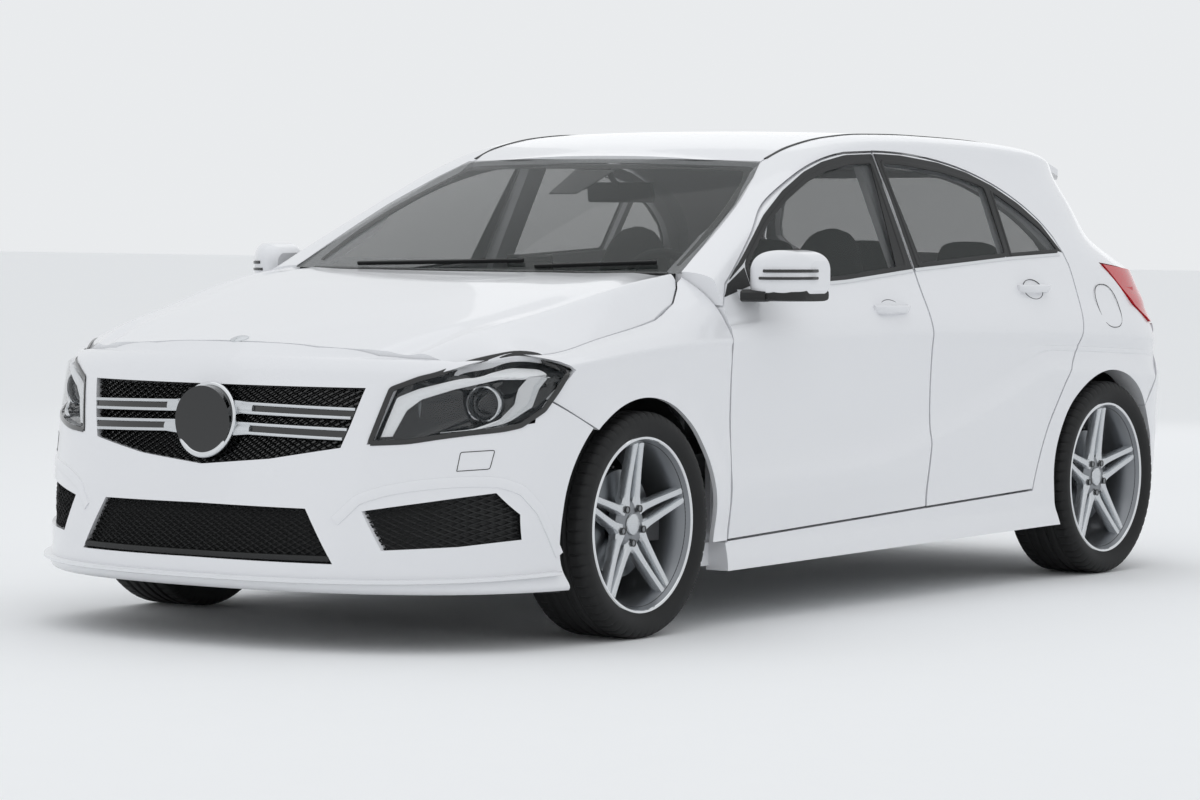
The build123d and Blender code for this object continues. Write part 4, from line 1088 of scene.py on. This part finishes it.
@dataclass
class Mirror:
    """Slots, beads, black base and glass of a door mirror.

    Its stations are (y, middle x, middle z, half length, half height) of the head. The base's are (y, middle x,
    half length).
    """

    stations: list = field(default_factory=lambda: [
        (868, 640, 992, 66, 50), (900, 634, 996, 92, 68), (950, 612, 998, 100, 74), (988, 582, 998, 88, 66),
        (1011, 556, 998, 54, 42)])
    base_stations: list = field(default_factory=lambda: [
        (868, 640, 66), (900, 634, 92), (950, 612, 100), (988, 582, 88), (1011, 560, 56)])
    base_height: float = 942
    toward: tuple[float, float, float] = (0.75, 0.66, 0.0)

    def front(self, y: Array, z: float, lift: float) -> Array:
        """The head's front: x = middle + half length (1 - |(z - middle) / half height|^4)^(1/4).

        Args:
            y: Places across the car.
            z: The height.
            lift: How far forward of the head.

        Returns:
            The points.
        """
        place, *rows = np.array(self.stations, float).T
        middle_x, middle_z, half_x, half_z = (along(list(zip(place, row)), y) for row in rows)
        rise = np.clip(np.abs(z - middle_z) / half_z, 0, 0.97)
        return np.stack([middle_x + half_x * (1 - rise ** 4) ** 0.25 + lift, y, z + 0 * y], -1)

    def round_end(self, start: float, z: float, width: float, height: float, lift: float) -> Mesh:
        """A moulding along the front, round the outer end and a little way back.

        Args:
            start: The y that it starts from.
            z: Its height.
            width: Its size in the surface.
            height: Its size off the surface.
            lift: How far its middle stands off the head.

        Returns:
            Points and faces.
        """
        line = self.front(np.linspace(start, 1008, 22), z, lift)
        back = np.stack([np.linspace(line[-1, 0] - 12, 575, 5), np.full(5, 1011.5 + lift), np.full(5, z)], -1)
        return strip(stretch(np.concatenate([line, back]), 48, 2), width, height, self.toward)

    def base(self) -> Mesh:
        """The black shell under the head, as wide as the head along y, and its foot on the door.

        Returns:
            Points and faces.
        """
        y = np.linspace(872, 1006, 20)
        place, *rows = np.array(self.base_stations, float).T
        middle, half = (np.interp(y, place, row) for row in rows)
        path = np.stack([middle, y, self.base_height + 0 * y], -1)
        s, t = rounded(1, 1, 28, 4).T
        shell = capped(path[:, None] + np.stack([s * (2 * half[:, None] + 3), 0 * s + 0 * y[:, None],
                                                 t * 34 + 0 * y[:, None]], -1))
        foot = tube([(690, 840, 941), (660, 905, 941)], (1.0, 0.4, 0), UP, rounded(132, 35, 20, 4))
        return joined(shell, foot)

    def build(self, side: Side) -> None:
        """Adds them to one mirror.

        Args:
            side: The side that it is on.
        """
        slots = joined(self.round_end(924, 1013, 9, 9, 1.5), self.round_end(912, 992, 8, 9, 1.5))
        beads = joined(self.round_end(926, 1007.5, 2, 10, 2), self.round_end(914, 987, 2, 10, 2))
        y, z = np.meshgrid(np.linspace(890, 996, 14), np.linspace(950, 1046, 10), indexing="ij")
        glass = np.stack([548 - 0.12 * (y - 890), y, z], -1)
        for name, part, look in (("slots", slots, PIANO), ("beads", beads, CHROME),
                                 ("base", self.base(), POLYPROPYLENE),
                                 ("glass", slab(glass, glass - (4, 0, 0)), CHROME)):
            finish_mesh(f"mirror_{name}_{side}", sided(part, side), look, f"front_door_{side}")


# ---------------------------------------------------------------- wheels and tyres
@dataclass
class Wheel:
    """A tyre with tread, and a bright ten-arm wheel with its cap, bolts, valve and brake disc.

    Profiles are (radius, distance outwards from the wheel's middle).
    """

    track: float = 776.5
    height: float = 315
    bolt_circle: float = 52
    sidewall: Line = field(default_factory=lambda: [
        (227, 83), (233, 90), (241, 92), (249, 97), (262, 106), (276, 110.5), (290, 110.8), (301, 107), (309, 100),
        (313, 92), (314.3, 84)])
    grooves: tuple[float, ...] = (-50, -17, 17, 50)
    barrel: Line = field(default_factory=lambda: [
        (246, 95), (246, 88), (229, 84), (219, 40), (215, -40), (227, -84), (246, -88), (246, -95), (236, -95),
        (217, -86), (206, -40), (210, 42), (225, 80), (236, 95)])
    hub: Line = field(default_factory=lambda: [(0.4, 58), (50, 58), (60, 54), (66, 46), (66, 20), (0.4, 20)])
    disc: Line = field(default_factory=lambda: [(62, -8), (150, -8), (150, 14), (62, 14)])
    edge: Line = field(default_factory=lambda: [(246, 90), (247.5, 95), (244, 98), (238, 97), (235, 93), (240, 89)])
    cap: Line = field(default_factory=lambda: [(0.4, 69), (20, 68), (29, 64), (31, 60), (0.4, 60)])
    well: Line = field(default_factory=lambda: [(7.5, 62), (10.5, 62), (10.5, 65.4), (7.5, 65.4)])
    bolt: Line = field(default_factory=lambda: [(0.3, 62), (7, 62), (7, 64.4), (0.3, 65)])
    valve: Line = field(default_factory=lambda: [(0.3, 54), (4, 54), (4, 84), (0.3, 86)])

    def tyre(self, x: float, sign: int) -> Mesh:
        """Radius over angle and section: four grooves run round, and shoulder slits repeat every 6 degrees.

        Args:
            x: The axle's place along the car.
            sign: 1 on the left and -1 on the right.

        Returns:
            Points and faces.
        """
        side = np.array(self.sidewall)
        crown_y = np.linspace(80, -80, 45)
        crown = np.stack([self.height - 0.8 * (crown_y / 80) ** 2, crown_y], -1)
        inner = np.array([(229, -70), (226, 0), (229, 70)])
        profile = np.concatenate([side, crown, side[::-1] * (1, -1), inner])
        angle = around(361)
        radius = np.broadcast_to(profile[:, 0], (361, len(profile))).copy()
        across = profile[:, 1]
        for groove in self.grooves:
            radius -= 6.5 * np.clip(1.35 - np.abs(across - groove) / 4.6, 0, 1) * (profile[:, 0] > 312)
        slit = (np.arange(361) % 6 == 0)[:, None] * ((np.abs(across) > 60) & (profile[:, 0] > 300))[None]
        radius -= 4.0 * slit
        out = np.broadcast_to(sign * (self.track + across), radius.shape)
        grid = np.stack([x + radius * np.cos(angle)[:, None], out,
                         self.height + radius * np.sin(angle)[:, None]], -1)
        return grid.reshape(-1, 3), quads(361, len(profile), wrap=True).tolist()

    def spoke(self, middle: float, lean: int) -> Mesh:
        """One of a pair that draws together towards the rim, about the wheel's own centre.

        Args:
            middle: Angle of the pair's middle line in radians.
            lean: 1 or -1, the side of that line.

        Returns:
            Points and faces.
        """
        start, end = 44, 237
        r = np.linspace(start, end, 18)
        beside = lean * np.interp(r, [start, 110, end], [27, 23, 13.5])
        out = 44 + 28 * ((r - start) / (end - start)) ** 1.3
        width = np.interp(r, [start, 80, 150, 215, end], [44, 27, 23, 23, 26])
        height = np.interp(r, [start, end], [32, 26])
        c, s = math.cos(middle), math.sin(middle)
        line = np.stack([r * c - beside * s, out, r * s + beside * c], -1)
        ring = np.array([(-0.5, -0.5), (-0.5, 0.22), (-0.34, 0.44), (0, 0.5), (0.34, 0.44), (0.5, 0.22), (0.5, -0.5)])
        return capped(line[:, None] + np.array([-s, 0, c]) * (ring[None, :, :1] * width[:, None, None])
                      + LEFT * (ring[None, :, 1:] * height[:, None, None]))

    def build(self, end: End, side: Side) -> None:
        """Dresses one wheel.

        Args:
            end: The end of the car that it is on.
            side: The side that it is on.
        """
        name = f"{end}_wheel_{side}"
        sign = side.sign
        low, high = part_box(name)
        x = (low.x + high.x) / 2 / MM
        tyre = finish_mesh(f"tyre_{end}_{side}", self.tyre(x, sign), RUBBER, name)
        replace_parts(tyre, f"{end}_tyre_{side}")
        centre = np.array([x, sign * self.track, self.height])

        def placed(profile: Line, steps: int, radius: float = 0, angle: float = 0) -> Mesh:
            """A profile turned about the axle, or about a line beside it at a radius and an angle."""
            spot = centre + (radius * math.cos(angle), 0, radius * math.sin(angle))
            return turned(np.asarray(profile, float) * (1, sign), spot, steps)

        # Barrel and hub take the darker alloy: painted shade against the brighter satin spokes.
        rim = finish_mesh(f"rim_{end}_{side}", joined(placed(self.barrel, 128), placed(self.hub, 64)), SHADED_ALLOY, name)
        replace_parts(rim, name)
        arms = [self.spoke(math.radians(90 + 72 * i), lean) for i in range(5) for lean in (1, -1)]
        star = joined(*((points * (1, sign, 1) + centre, faces) for points, faces in arms))
        bolts = [math.radians(126 + 72 * i) for i in range(5)]
        wells = joined(*(placed(self.well, 20, self.bolt_circle, angle) for angle in bolts))
        heads = joined(*(placed(self.bolt, 12, self.bolt_circle, angle) for angle in bolts))
        for label, part, look in (("brake_disc", placed(self.disc, 96), STEEL), ("spokes", star, SATIN),
                                  ("rim_edge", placed(self.edge, 128), CHROME),
                                  ("wheel_cap", placed(self.cap, 48), SATIN), ("bolt_wells", wells, PIANO),
                                  ("wheel_bolts", heads, STEEL),
                                  ("valve", placed(self.valve, 12, 212, 0.9), POLYPROPYLENE)):
            finish_mesh(f"{label}_{end}_{side}", part, look, name)


# ---------------------------------------------------------------- screen and roof
@dataclass
class Screen:
    """Frit band, sensor housing, inner mirror, wipers and the roof's ditch strips."""

    band: Line = field(default_factory=lambda: [
        (664, 1040), (650, 1110), (618, 1198), (568, 1280), (526, 1322), (300, 1329), (-300, 1329), (-526, 1322),
        (-568, 1280), (-618, 1198), (-650, 1110), (-664, 1040)])
    band_depth: float = 16
    foot_reach: float = 650
    foot_height: float = 1016
    wipers: dict[Side, Pair] = field(default_factory=lambda: {Side.LEFT: (250, 610), Side.RIGHT: (-420, 190)})
    ditch_y: Line = field(default_factory=lambda: [(-1480, 535), (-800, 545), (0, 548), (130, 545)])
    ditch_z: Line = field(default_factory=lambda: [
        (-1467, 1384), (-1075, 1412), (-800, 1420), (-600, 1423), (-400, 1421), (-200, 1408), (0, 1376),
        (130, 1336)])
    off_screen: tuple[float, float, float] = (0.42, 0, 0.9)

    def frit(self) -> None:
        """The black band behind the glass: down both sides and along the top, and a wide one at the foot."""
        line = BODY.screen_points(*stretch(self.band, 120, 2).T, self.band_depth)
        finish_mesh("screen_band", strip(line, 34, 1.5, self.off_screen), PIANO)
        line = BODY.screen_points(np.linspace(-self.foot_reach, self.foot_reach, 60), self.foot_height,
                                  self.band_depth)
        finish_mesh("screen_foot", strip(line, 26, 1.5, self.off_screen), PIANO)

    def inner_mirror(self) -> None:
        """The sensor pod, which hangs 22 (1 - u^2) sin(pi v), and the mirror on its stalk."""
        u, v = np.meshgrid(np.linspace(-1, 1, 15), np.linspace(0, 1, 12), indexing="ij")
        pod = BODY.screen_points(u * (74 - 24 * v), 1322 - 74 * v, 18)
        drop = 22 * (1 - u ** 2) * np.sin(math.pi * v)
        finish_mesh("sensor_housing", slab(pod, pod - np.stack([drop * 0.4, 0 * drop, drop + 3], -1)), PIANO)
        y = np.linspace(-118, 118, 25)
        glass = np.stack([112 - 0.0009 * y * y, y, 1236 + 0 * y], -1)
        finish_mesh("inner_mirror", tube(glass, (0.1, 0, 1.0), FORWARD, rounded(62, 22, 16, 3.2)), SKIN)
        stalk = stretch([(112, 0, 1250), (150, 0, 1280), (165, 0, 1302)], 12, 1)
        finish_mesh("mirror_stalk", tube(stalk, LEFT, (0.7, 0, -0.7), rounded(18, 18, 12, 2)), SKIN)

    def build(self) -> None:
        """Makes the pieces on and behind the windscreen and along the roof."""
        self.frit()
        self.inner_mirror()
        for side, ends in self.wipers.items():
            path = BODY.screen_points(np.linspace(*ends, 30), np.linspace(1012, 1028, 30), -7)
            finish_mesh(f"wiper_{side}", strip(path, 9, 12, self.off_screen), POLYPROPYLENE)
        x = np.linspace(120, -1440, 80)
        line = np.stack([x, along(self.ditch_y, x) - 3, along(self.ditch_z, x) + 0.6], -1)
        for side in Side:
            finish_mesh(f"roof_ditch_{side}", strip(line * (1, side.sign, 1), 13, 4, UP), POLYPROPYLENE)


# ---------------------------------------------------------------- rear of the car
@dataclass
class RearEnd:
    """Lower insert and blank plate."""

    thickness: float = 4

    def panel(self, reach: float, heights: Pair, counts: tuple[int, int], lift: float) -> Mesh:
        """A thin panel that follows the tail.

        Args:
            reach: Half its width.
            heights: Its bottom and top.
            counts: Points across and up.
            lift: How far its face stands off the tail.

        Returns:
            Points and faces.
        """
        y, z = np.meshgrid(np.linspace(-reach, reach, counts[0]), np.linspace(*heights, counts[1]), indexing="ij")
        return slab(BODY.tail_points(y, z, -lift), BODY.tail_points(y, z, self.thickness - lift))

    def build(self) -> None:
        """Makes the pieces at the back."""
        finish_mesh("rear_insert", self.panel(520, (222, 330), (50, 10), 2), POLYPROPYLENE)
        finish_mesh("blank_plate", self.panel(260, (560, 672), (30, 8), 5), SATIN)


# ---------------------------------------------------------------- cabin
@dataclass
class Cushion:
    """A padded form carried along a path: superellipse sections that swell in its middle."""

    path: list
    widths: list[float]
    depths: list[float]
    power: float = 3.2
    shift: float = 0

    def form(self, rows: int = 40, columns: int = 36) -> Mesh:
        """point = path + side * s + up * t, where the section closes to a point at both ends.

        Args:
            rows: Sections along the path.
            columns: Points round each.

        Returns:
            Points and faces.
        """
        line = stretch(self.path, rows, 3)
        run = np.gradient(line, axis=0)
        run /= np.linalg.norm(run, axis=1, keepdims=True)
        t = np.linspace(-1, 1, rows)
        close = (1 - np.abs(t) ** 6) ** 0.5
        place = np.linspace(0, 1, len(self.widths))
        width = np.interp((t + 1) / 2, place, self.widths) * close
        depth = np.interp((t + 1) / 2, place, self.depths) * close
        a = np.linspace(0, FULL_TURN, columns, endpoint=False)
        across = powered(np.cos(a), 2 / self.power)
        through = powered(np.sin(a), 2 / self.power)
        grid = (line[:, None] + LEFT * (across[None] * width[:, None] / 2)[..., None]
                + np.cross(run, LEFT)[:, None] * (through[None] * depth[:, None] / 2)[..., None])
        grid = grid + (0, self.shift, 0)
        return grid.reshape(-1, 3), quads(rows, columns, wrap=True).tolist()

    def build(self, name: str, voxel: float = 9, cap: float = 9) -> bpy.types.Object:
        """Args:
            name: The piece's name.
            voxel: Edge of the remesh in millimetres.
            cap: The furthest that a point may swell, in millimetres.

        Returns:
            The piece.
        """
        piece = finish_mesh(name, self.form(), CLOTH, sharp=60)
        plump(piece, voxel, cap)
        return piece


def plump(piece: bpy.types.Object, voxel: float, cap: float) -> None:
    """Swells a closed form as pressurised cloth and caps how far each point moves.

    Args:
        piece: The form to swell; its mesh is changed.
        voxel: Edge of the remesh in millimetres.
        cap: The furthest that a point may move, in millimetres.
    """
    bpy.context.view_layer.objects.active = piece
    remesh = piece.modifiers.new("even", "REMESH")
    remesh.mode, remesh.voxel_size = "VOXEL", voxel * MM
    apply_modifiers(piece)
    before = points_of(piece)
    cloth = piece.modifiers.new("stuffing", "CLOTH")
    cloth.settings.use_pressure = True
    cloth.settings.uniform_pressure_force = 4
    cloth.settings.effector_weights.gravity = 0
    cloth.settings.quality = 4
    cloth.point_cache.frame_end = CLOTH_STEPS
    for step in range(1, CLOTH_STEPS + 1):
        bpy.context.scene.frame_set(step)
    apply_modifiers(piece)
    move = points_of(piece) - before
    size = np.linalg.norm(move, axis=1, keepdims=True)
    limited = before + move * np.minimum(1, cap * MM / np.maximum(size, 1e-9))
    piece.data.vertices.foreach_set("co", limited.astype(np.float32).ravel())
    piece.data.update()
    piece.data.shade_smooth()
    bpy.context.scene.frame_set(1)


def apply_modifiers(piece: bpy.types.Object) -> None:
    """Replaces the mesh with its evaluated copy and clears the modifiers.

    Args:
        piece: The piece to change.
    """
    made = bpy.data.meshes.new_from_object(piece.evaluated_get(bpy.context.evaluated_depsgraph_get()))
    piece.modifiers.clear()
    piece.data = made


def points_of(piece: bpy.types.Object) -> Array:
    """The mesh's points as an array.

    Args:
        piece: The piece to read.

    Returns:
        The points, n by 3.
    """
    flat = np.empty(len(piece.data.vertices) * 3, np.float32)
    piece.data.vertices.foreach_get("co", flat)
    return flat.reshape(-1, 3).astype(float)


@dataclass
class Cabin:
    """Padded seats on their plinths, and dashboard fittings."""

    seat_y: float = 372
    seat_path: list = field(default_factory=lambda: [(165, 0, 372), (-60, 0, 372), (-330, 0, 402)])
    back_path: list = field(default_factory=lambda: [
        (-318, 0, 450), (-398, 0, 660), (-470, 0, 870), (-510, 0, 960), (-528, 0, 1060), (-545, 0, 1140)])
    bench_path: list = field(default_factory=lambda: [(-700, 0, 412), (-920, 0, 410), (-1140, 0, 425)])
    bench_back_path: list = field(default_factory=lambda: [(-1165, 0, 500), (-1240, 0, 720), (-1318, 0, 935)])
    headrest_path: list = field(default_factory=lambda: [(-1338, 0, 965), (-1352, 0, 1020), (-1366, 0, 1082)])
    vent_places: tuple[float, ...] = (-90, 0, 90)
    vent: Line = field(default_factory=lambda: [(25, 0), (33, 0), (34, 6), (29, 9), (25, 6)])

    def front_seat(self, side: Side) -> None:
        """A cushion, a tall back whose top is the headrest, and a plinth.

        Args:
            side: The side that it is on.
        """
        y = side.sign * self.seat_y
        cushion = Cushion(self.seat_path, [430, 470, 430], [105, 110, 100], shift=y)
        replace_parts(cushion.build(f"seat_cushion_{side}"), f"front_seat_{side}")
        back = Cushion(self.back_path, [400, 430, 420, 330, 270, 230], [95, 105, 100, 82, 80, 74], shift=y)
        back.build(f"seat_back_{side}")
        plinth = tube([(120, y, 262), (-310, y, 262)], LEFT, UP, rounded(400, 130, 20, 6))
        finish_mesh(f"seat_plinth_{side}", plinth, SKIN)

    def rear_bench(self) -> None:
        """A bench cushion, a back in two parts and three headrests."""
        bench = Cushion(self.bench_path, [1180, 1230, 1200], [115, 110, 95], power=5)
        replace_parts(bench.build("bench_cushion", 12), "rear_seat")
        for label, y, width in (("left", 215, 790), ("right", -410, 400)):
            back = Cushion(self.bench_back_path, [width, width, width - 30], [95, 100, 85], power=4.5, shift=y)
            back.build(f"bench_back_{label}", 11)
        for label, y in (("left", 400), ("middle", 0), ("right", -400)):
            rest = Cushion(self.headrest_path, [200, 225, 200], [62, 74, 60], shift=y)
            rest.build(f"bench_headrest_{label}", 8, 6)

    def fittings(self) -> None:
        """An instrument hood that crowns 22 sin(pi s), a centre display and three round vents."""
        y = np.linspace(250, 490, 25)
        hood = np.stack([590 - 0.0016 * (y - 370) ** 2, y, 968 + 22 * np.sin(math.pi * (y - 250) / 240)], -1)
        finish_mesh("instrument_hood", tube(hood, (1.0, 0, 0.2), UP, rounded(120, 16, 14, 3)), SKIN)
        display = tube([(575, -80, 1004), (575, 80, 1004)], (0.15, 0, 1.0), FORWARD, rounded(86, 12, 20, 6))
        finish_mesh("centre_display", display, PIANO)
        spin = np.array([[0.0, -1.0, 0.0], [1.0, 0.0, 0.0], [0.0, 0.0, 1.0]])
        points, faces = turned(self.vent, np.zeros(3), 36)
        vents = [(points @ spin.T + (548, y, 905), faces) for y in self.vent_places]
        finish_mesh("centre_vents", joined(*vents), SATIN)

    def build(self) -> None:
        """Furnishes the cabin."""
        for side in Side:
            self.front_seat(side)
        self.rear_bench()
        self.fittings()


# ---------------------------------------------------------------- stage, light and camera
@dataclass(frozen=True)
class SoftLamp:
    """A square area lamp: its place and size in metres, and its power in watts."""

    name: str
    place: tuple[float, float, float]
    size: float
    power: float


@dataclass
class Studio:
    """Pale floor, white surround, four soft lamps and the camera. Places are in metres, the lens in millimetres."""

    place: tuple[float, float, float] = (11.0155, 7.5059, 1.2083)
    yaw: float = -2.534689
    pitch: float = -0.0463915
    roll: float = 0.00646322
    lens: float = 128.4468
    sensor_width: float = 36
    floor_reach: float = 60
    soft_lamps: tuple[SoftLamp, ...] = (
        SoftLamp("overhead", (0.5, 0, 6.5), 9.0, 70), SoftLamp("left_wall", (2, 9, 3.4), 6.0, 8),
        SoftLamp("front_wall", (9.5, -2, 3.2), 6.0, 20), SoftLamp("rear_wall", (-9, -4, 4.0), 6.0, 30))
    aim: tuple[float, float, float] = (0, 0, 0.6)
    surround: float = 0.92

    def camera(self) -> None:
        """Sets the camera from its place, yaw, pitch and roll."""
        forward = np.array([math.cos(self.pitch) * math.cos(self.yaw), math.cos(self.pitch) * math.sin(self.yaw),
                            math.sin(self.pitch)])
        right = np.cross(forward, UP)
        right /= np.linalg.norm(right)
        up = np.cross(right, forward)
        c, s = math.cos(self.roll), math.sin(self.roll)
        axes = np.stack([c * right + s * up, -s * right + c * up, -forward], 1)
        data = bpy.data.cameras.new("camera")
        data.sensor_width, data.lens = self.sensor_width, self.lens
        data.clip_end = 200
        data.dof.use_dof = False
        eye = bpy.data.objects.new("camera", data)
        eye.matrix_world = Matrix.Translation(self.place) @ Matrix(axes.tolist()).to_4x4()
        bpy.context.collection.objects.link(eye)
        bpy.context.scene.camera = eye

    def floor(self) -> None:
        """A wide pale floor."""
        mesh = bpy.data.meshes.new("floor")
        reach = self.floor_reach
        corners = [(-reach, -reach, 0), (reach, -reach, 0), (reach, reach, 0), (-reach, reach, 0)]
        mesh.from_pydata(corners, [], [(0, 1, 2, 3)])
        ground = bpy.data.objects.new("floor", mesh)
        ground.data.materials.append(PAPER.material())
        bpy.context.collection.objects.link(ground)

    def lamps(self) -> None:
        """A large lamp overhead, one at the left, one at each end, and an even white surround."""
        for soft in self.soft_lamps:
            data = bpy.data.lights.new(soft.name, "AREA")
            data.shape, data.size, data.energy = "SQUARE", soft.size, soft.power
            lamp = bpy.data.objects.new(soft.name, data)
            lamp.location = soft.place
            lamp.rotation_euler = (Vector(self.aim) - Vector(soft.place)).to_track_quat("-Z", "Y").to_euler()
            bpy.context.collection.objects.link(lamp)
        world = bpy.data.worlds.new("surround")
        world.use_nodes = True
        world.node_tree.nodes["Background"].inputs["Color"].default_value = linear("F2F4F6")
        world.node_tree.nodes["Background"].inputs["Strength"].default_value = self.surround
        bpy.context.scene.world = world
        bpy.context.scene.view_settings.view_transform = "Standard"

    def build(self) -> None:
        """Sets the stage."""
        self.camera()
        self.floor()
        self.lamps()


def dress_cad() -> None:
    """Gives every CAD node the finish of its material slot."""
    looks = {"paint": WHITE, "structure": PRIMER, "black_plastic": POLYPROPYLENE, "gloss_black": PIANO,
             "glass": GLASS, "lamp": LENS, "lamp_red": RED, "alloy": SHADED_ALLOY, "tyre": RUBBER, "iron": IRON,
             "steel": STEEL, "trim": SKIN, "cloth": CLOTH}
    for row in frame["record"]["subparts"]:
        node = frame["nodes"][row["node"]]
        node.data.materials.clear()
        node.data.materials.append(looks[row["material_slot"]].material())


def main() -> None:
    """Builds the sub-assemblies in order."""
    logging.basicConfig(level=logging.INFO, format="%(message)s")
    Studio().build()
    dress_cad()
    FrontEnd().build()
    for side in Side:
        Headlamp().build(side)
        Mirror().build(side)
    Flanks().build()
    for end in End:
        for side in Side:
            Wheel().build(end, side)
    Screen().build()
    RearEnd().build()
    Cabin().build()


if __name__ == "__main__":
    main()
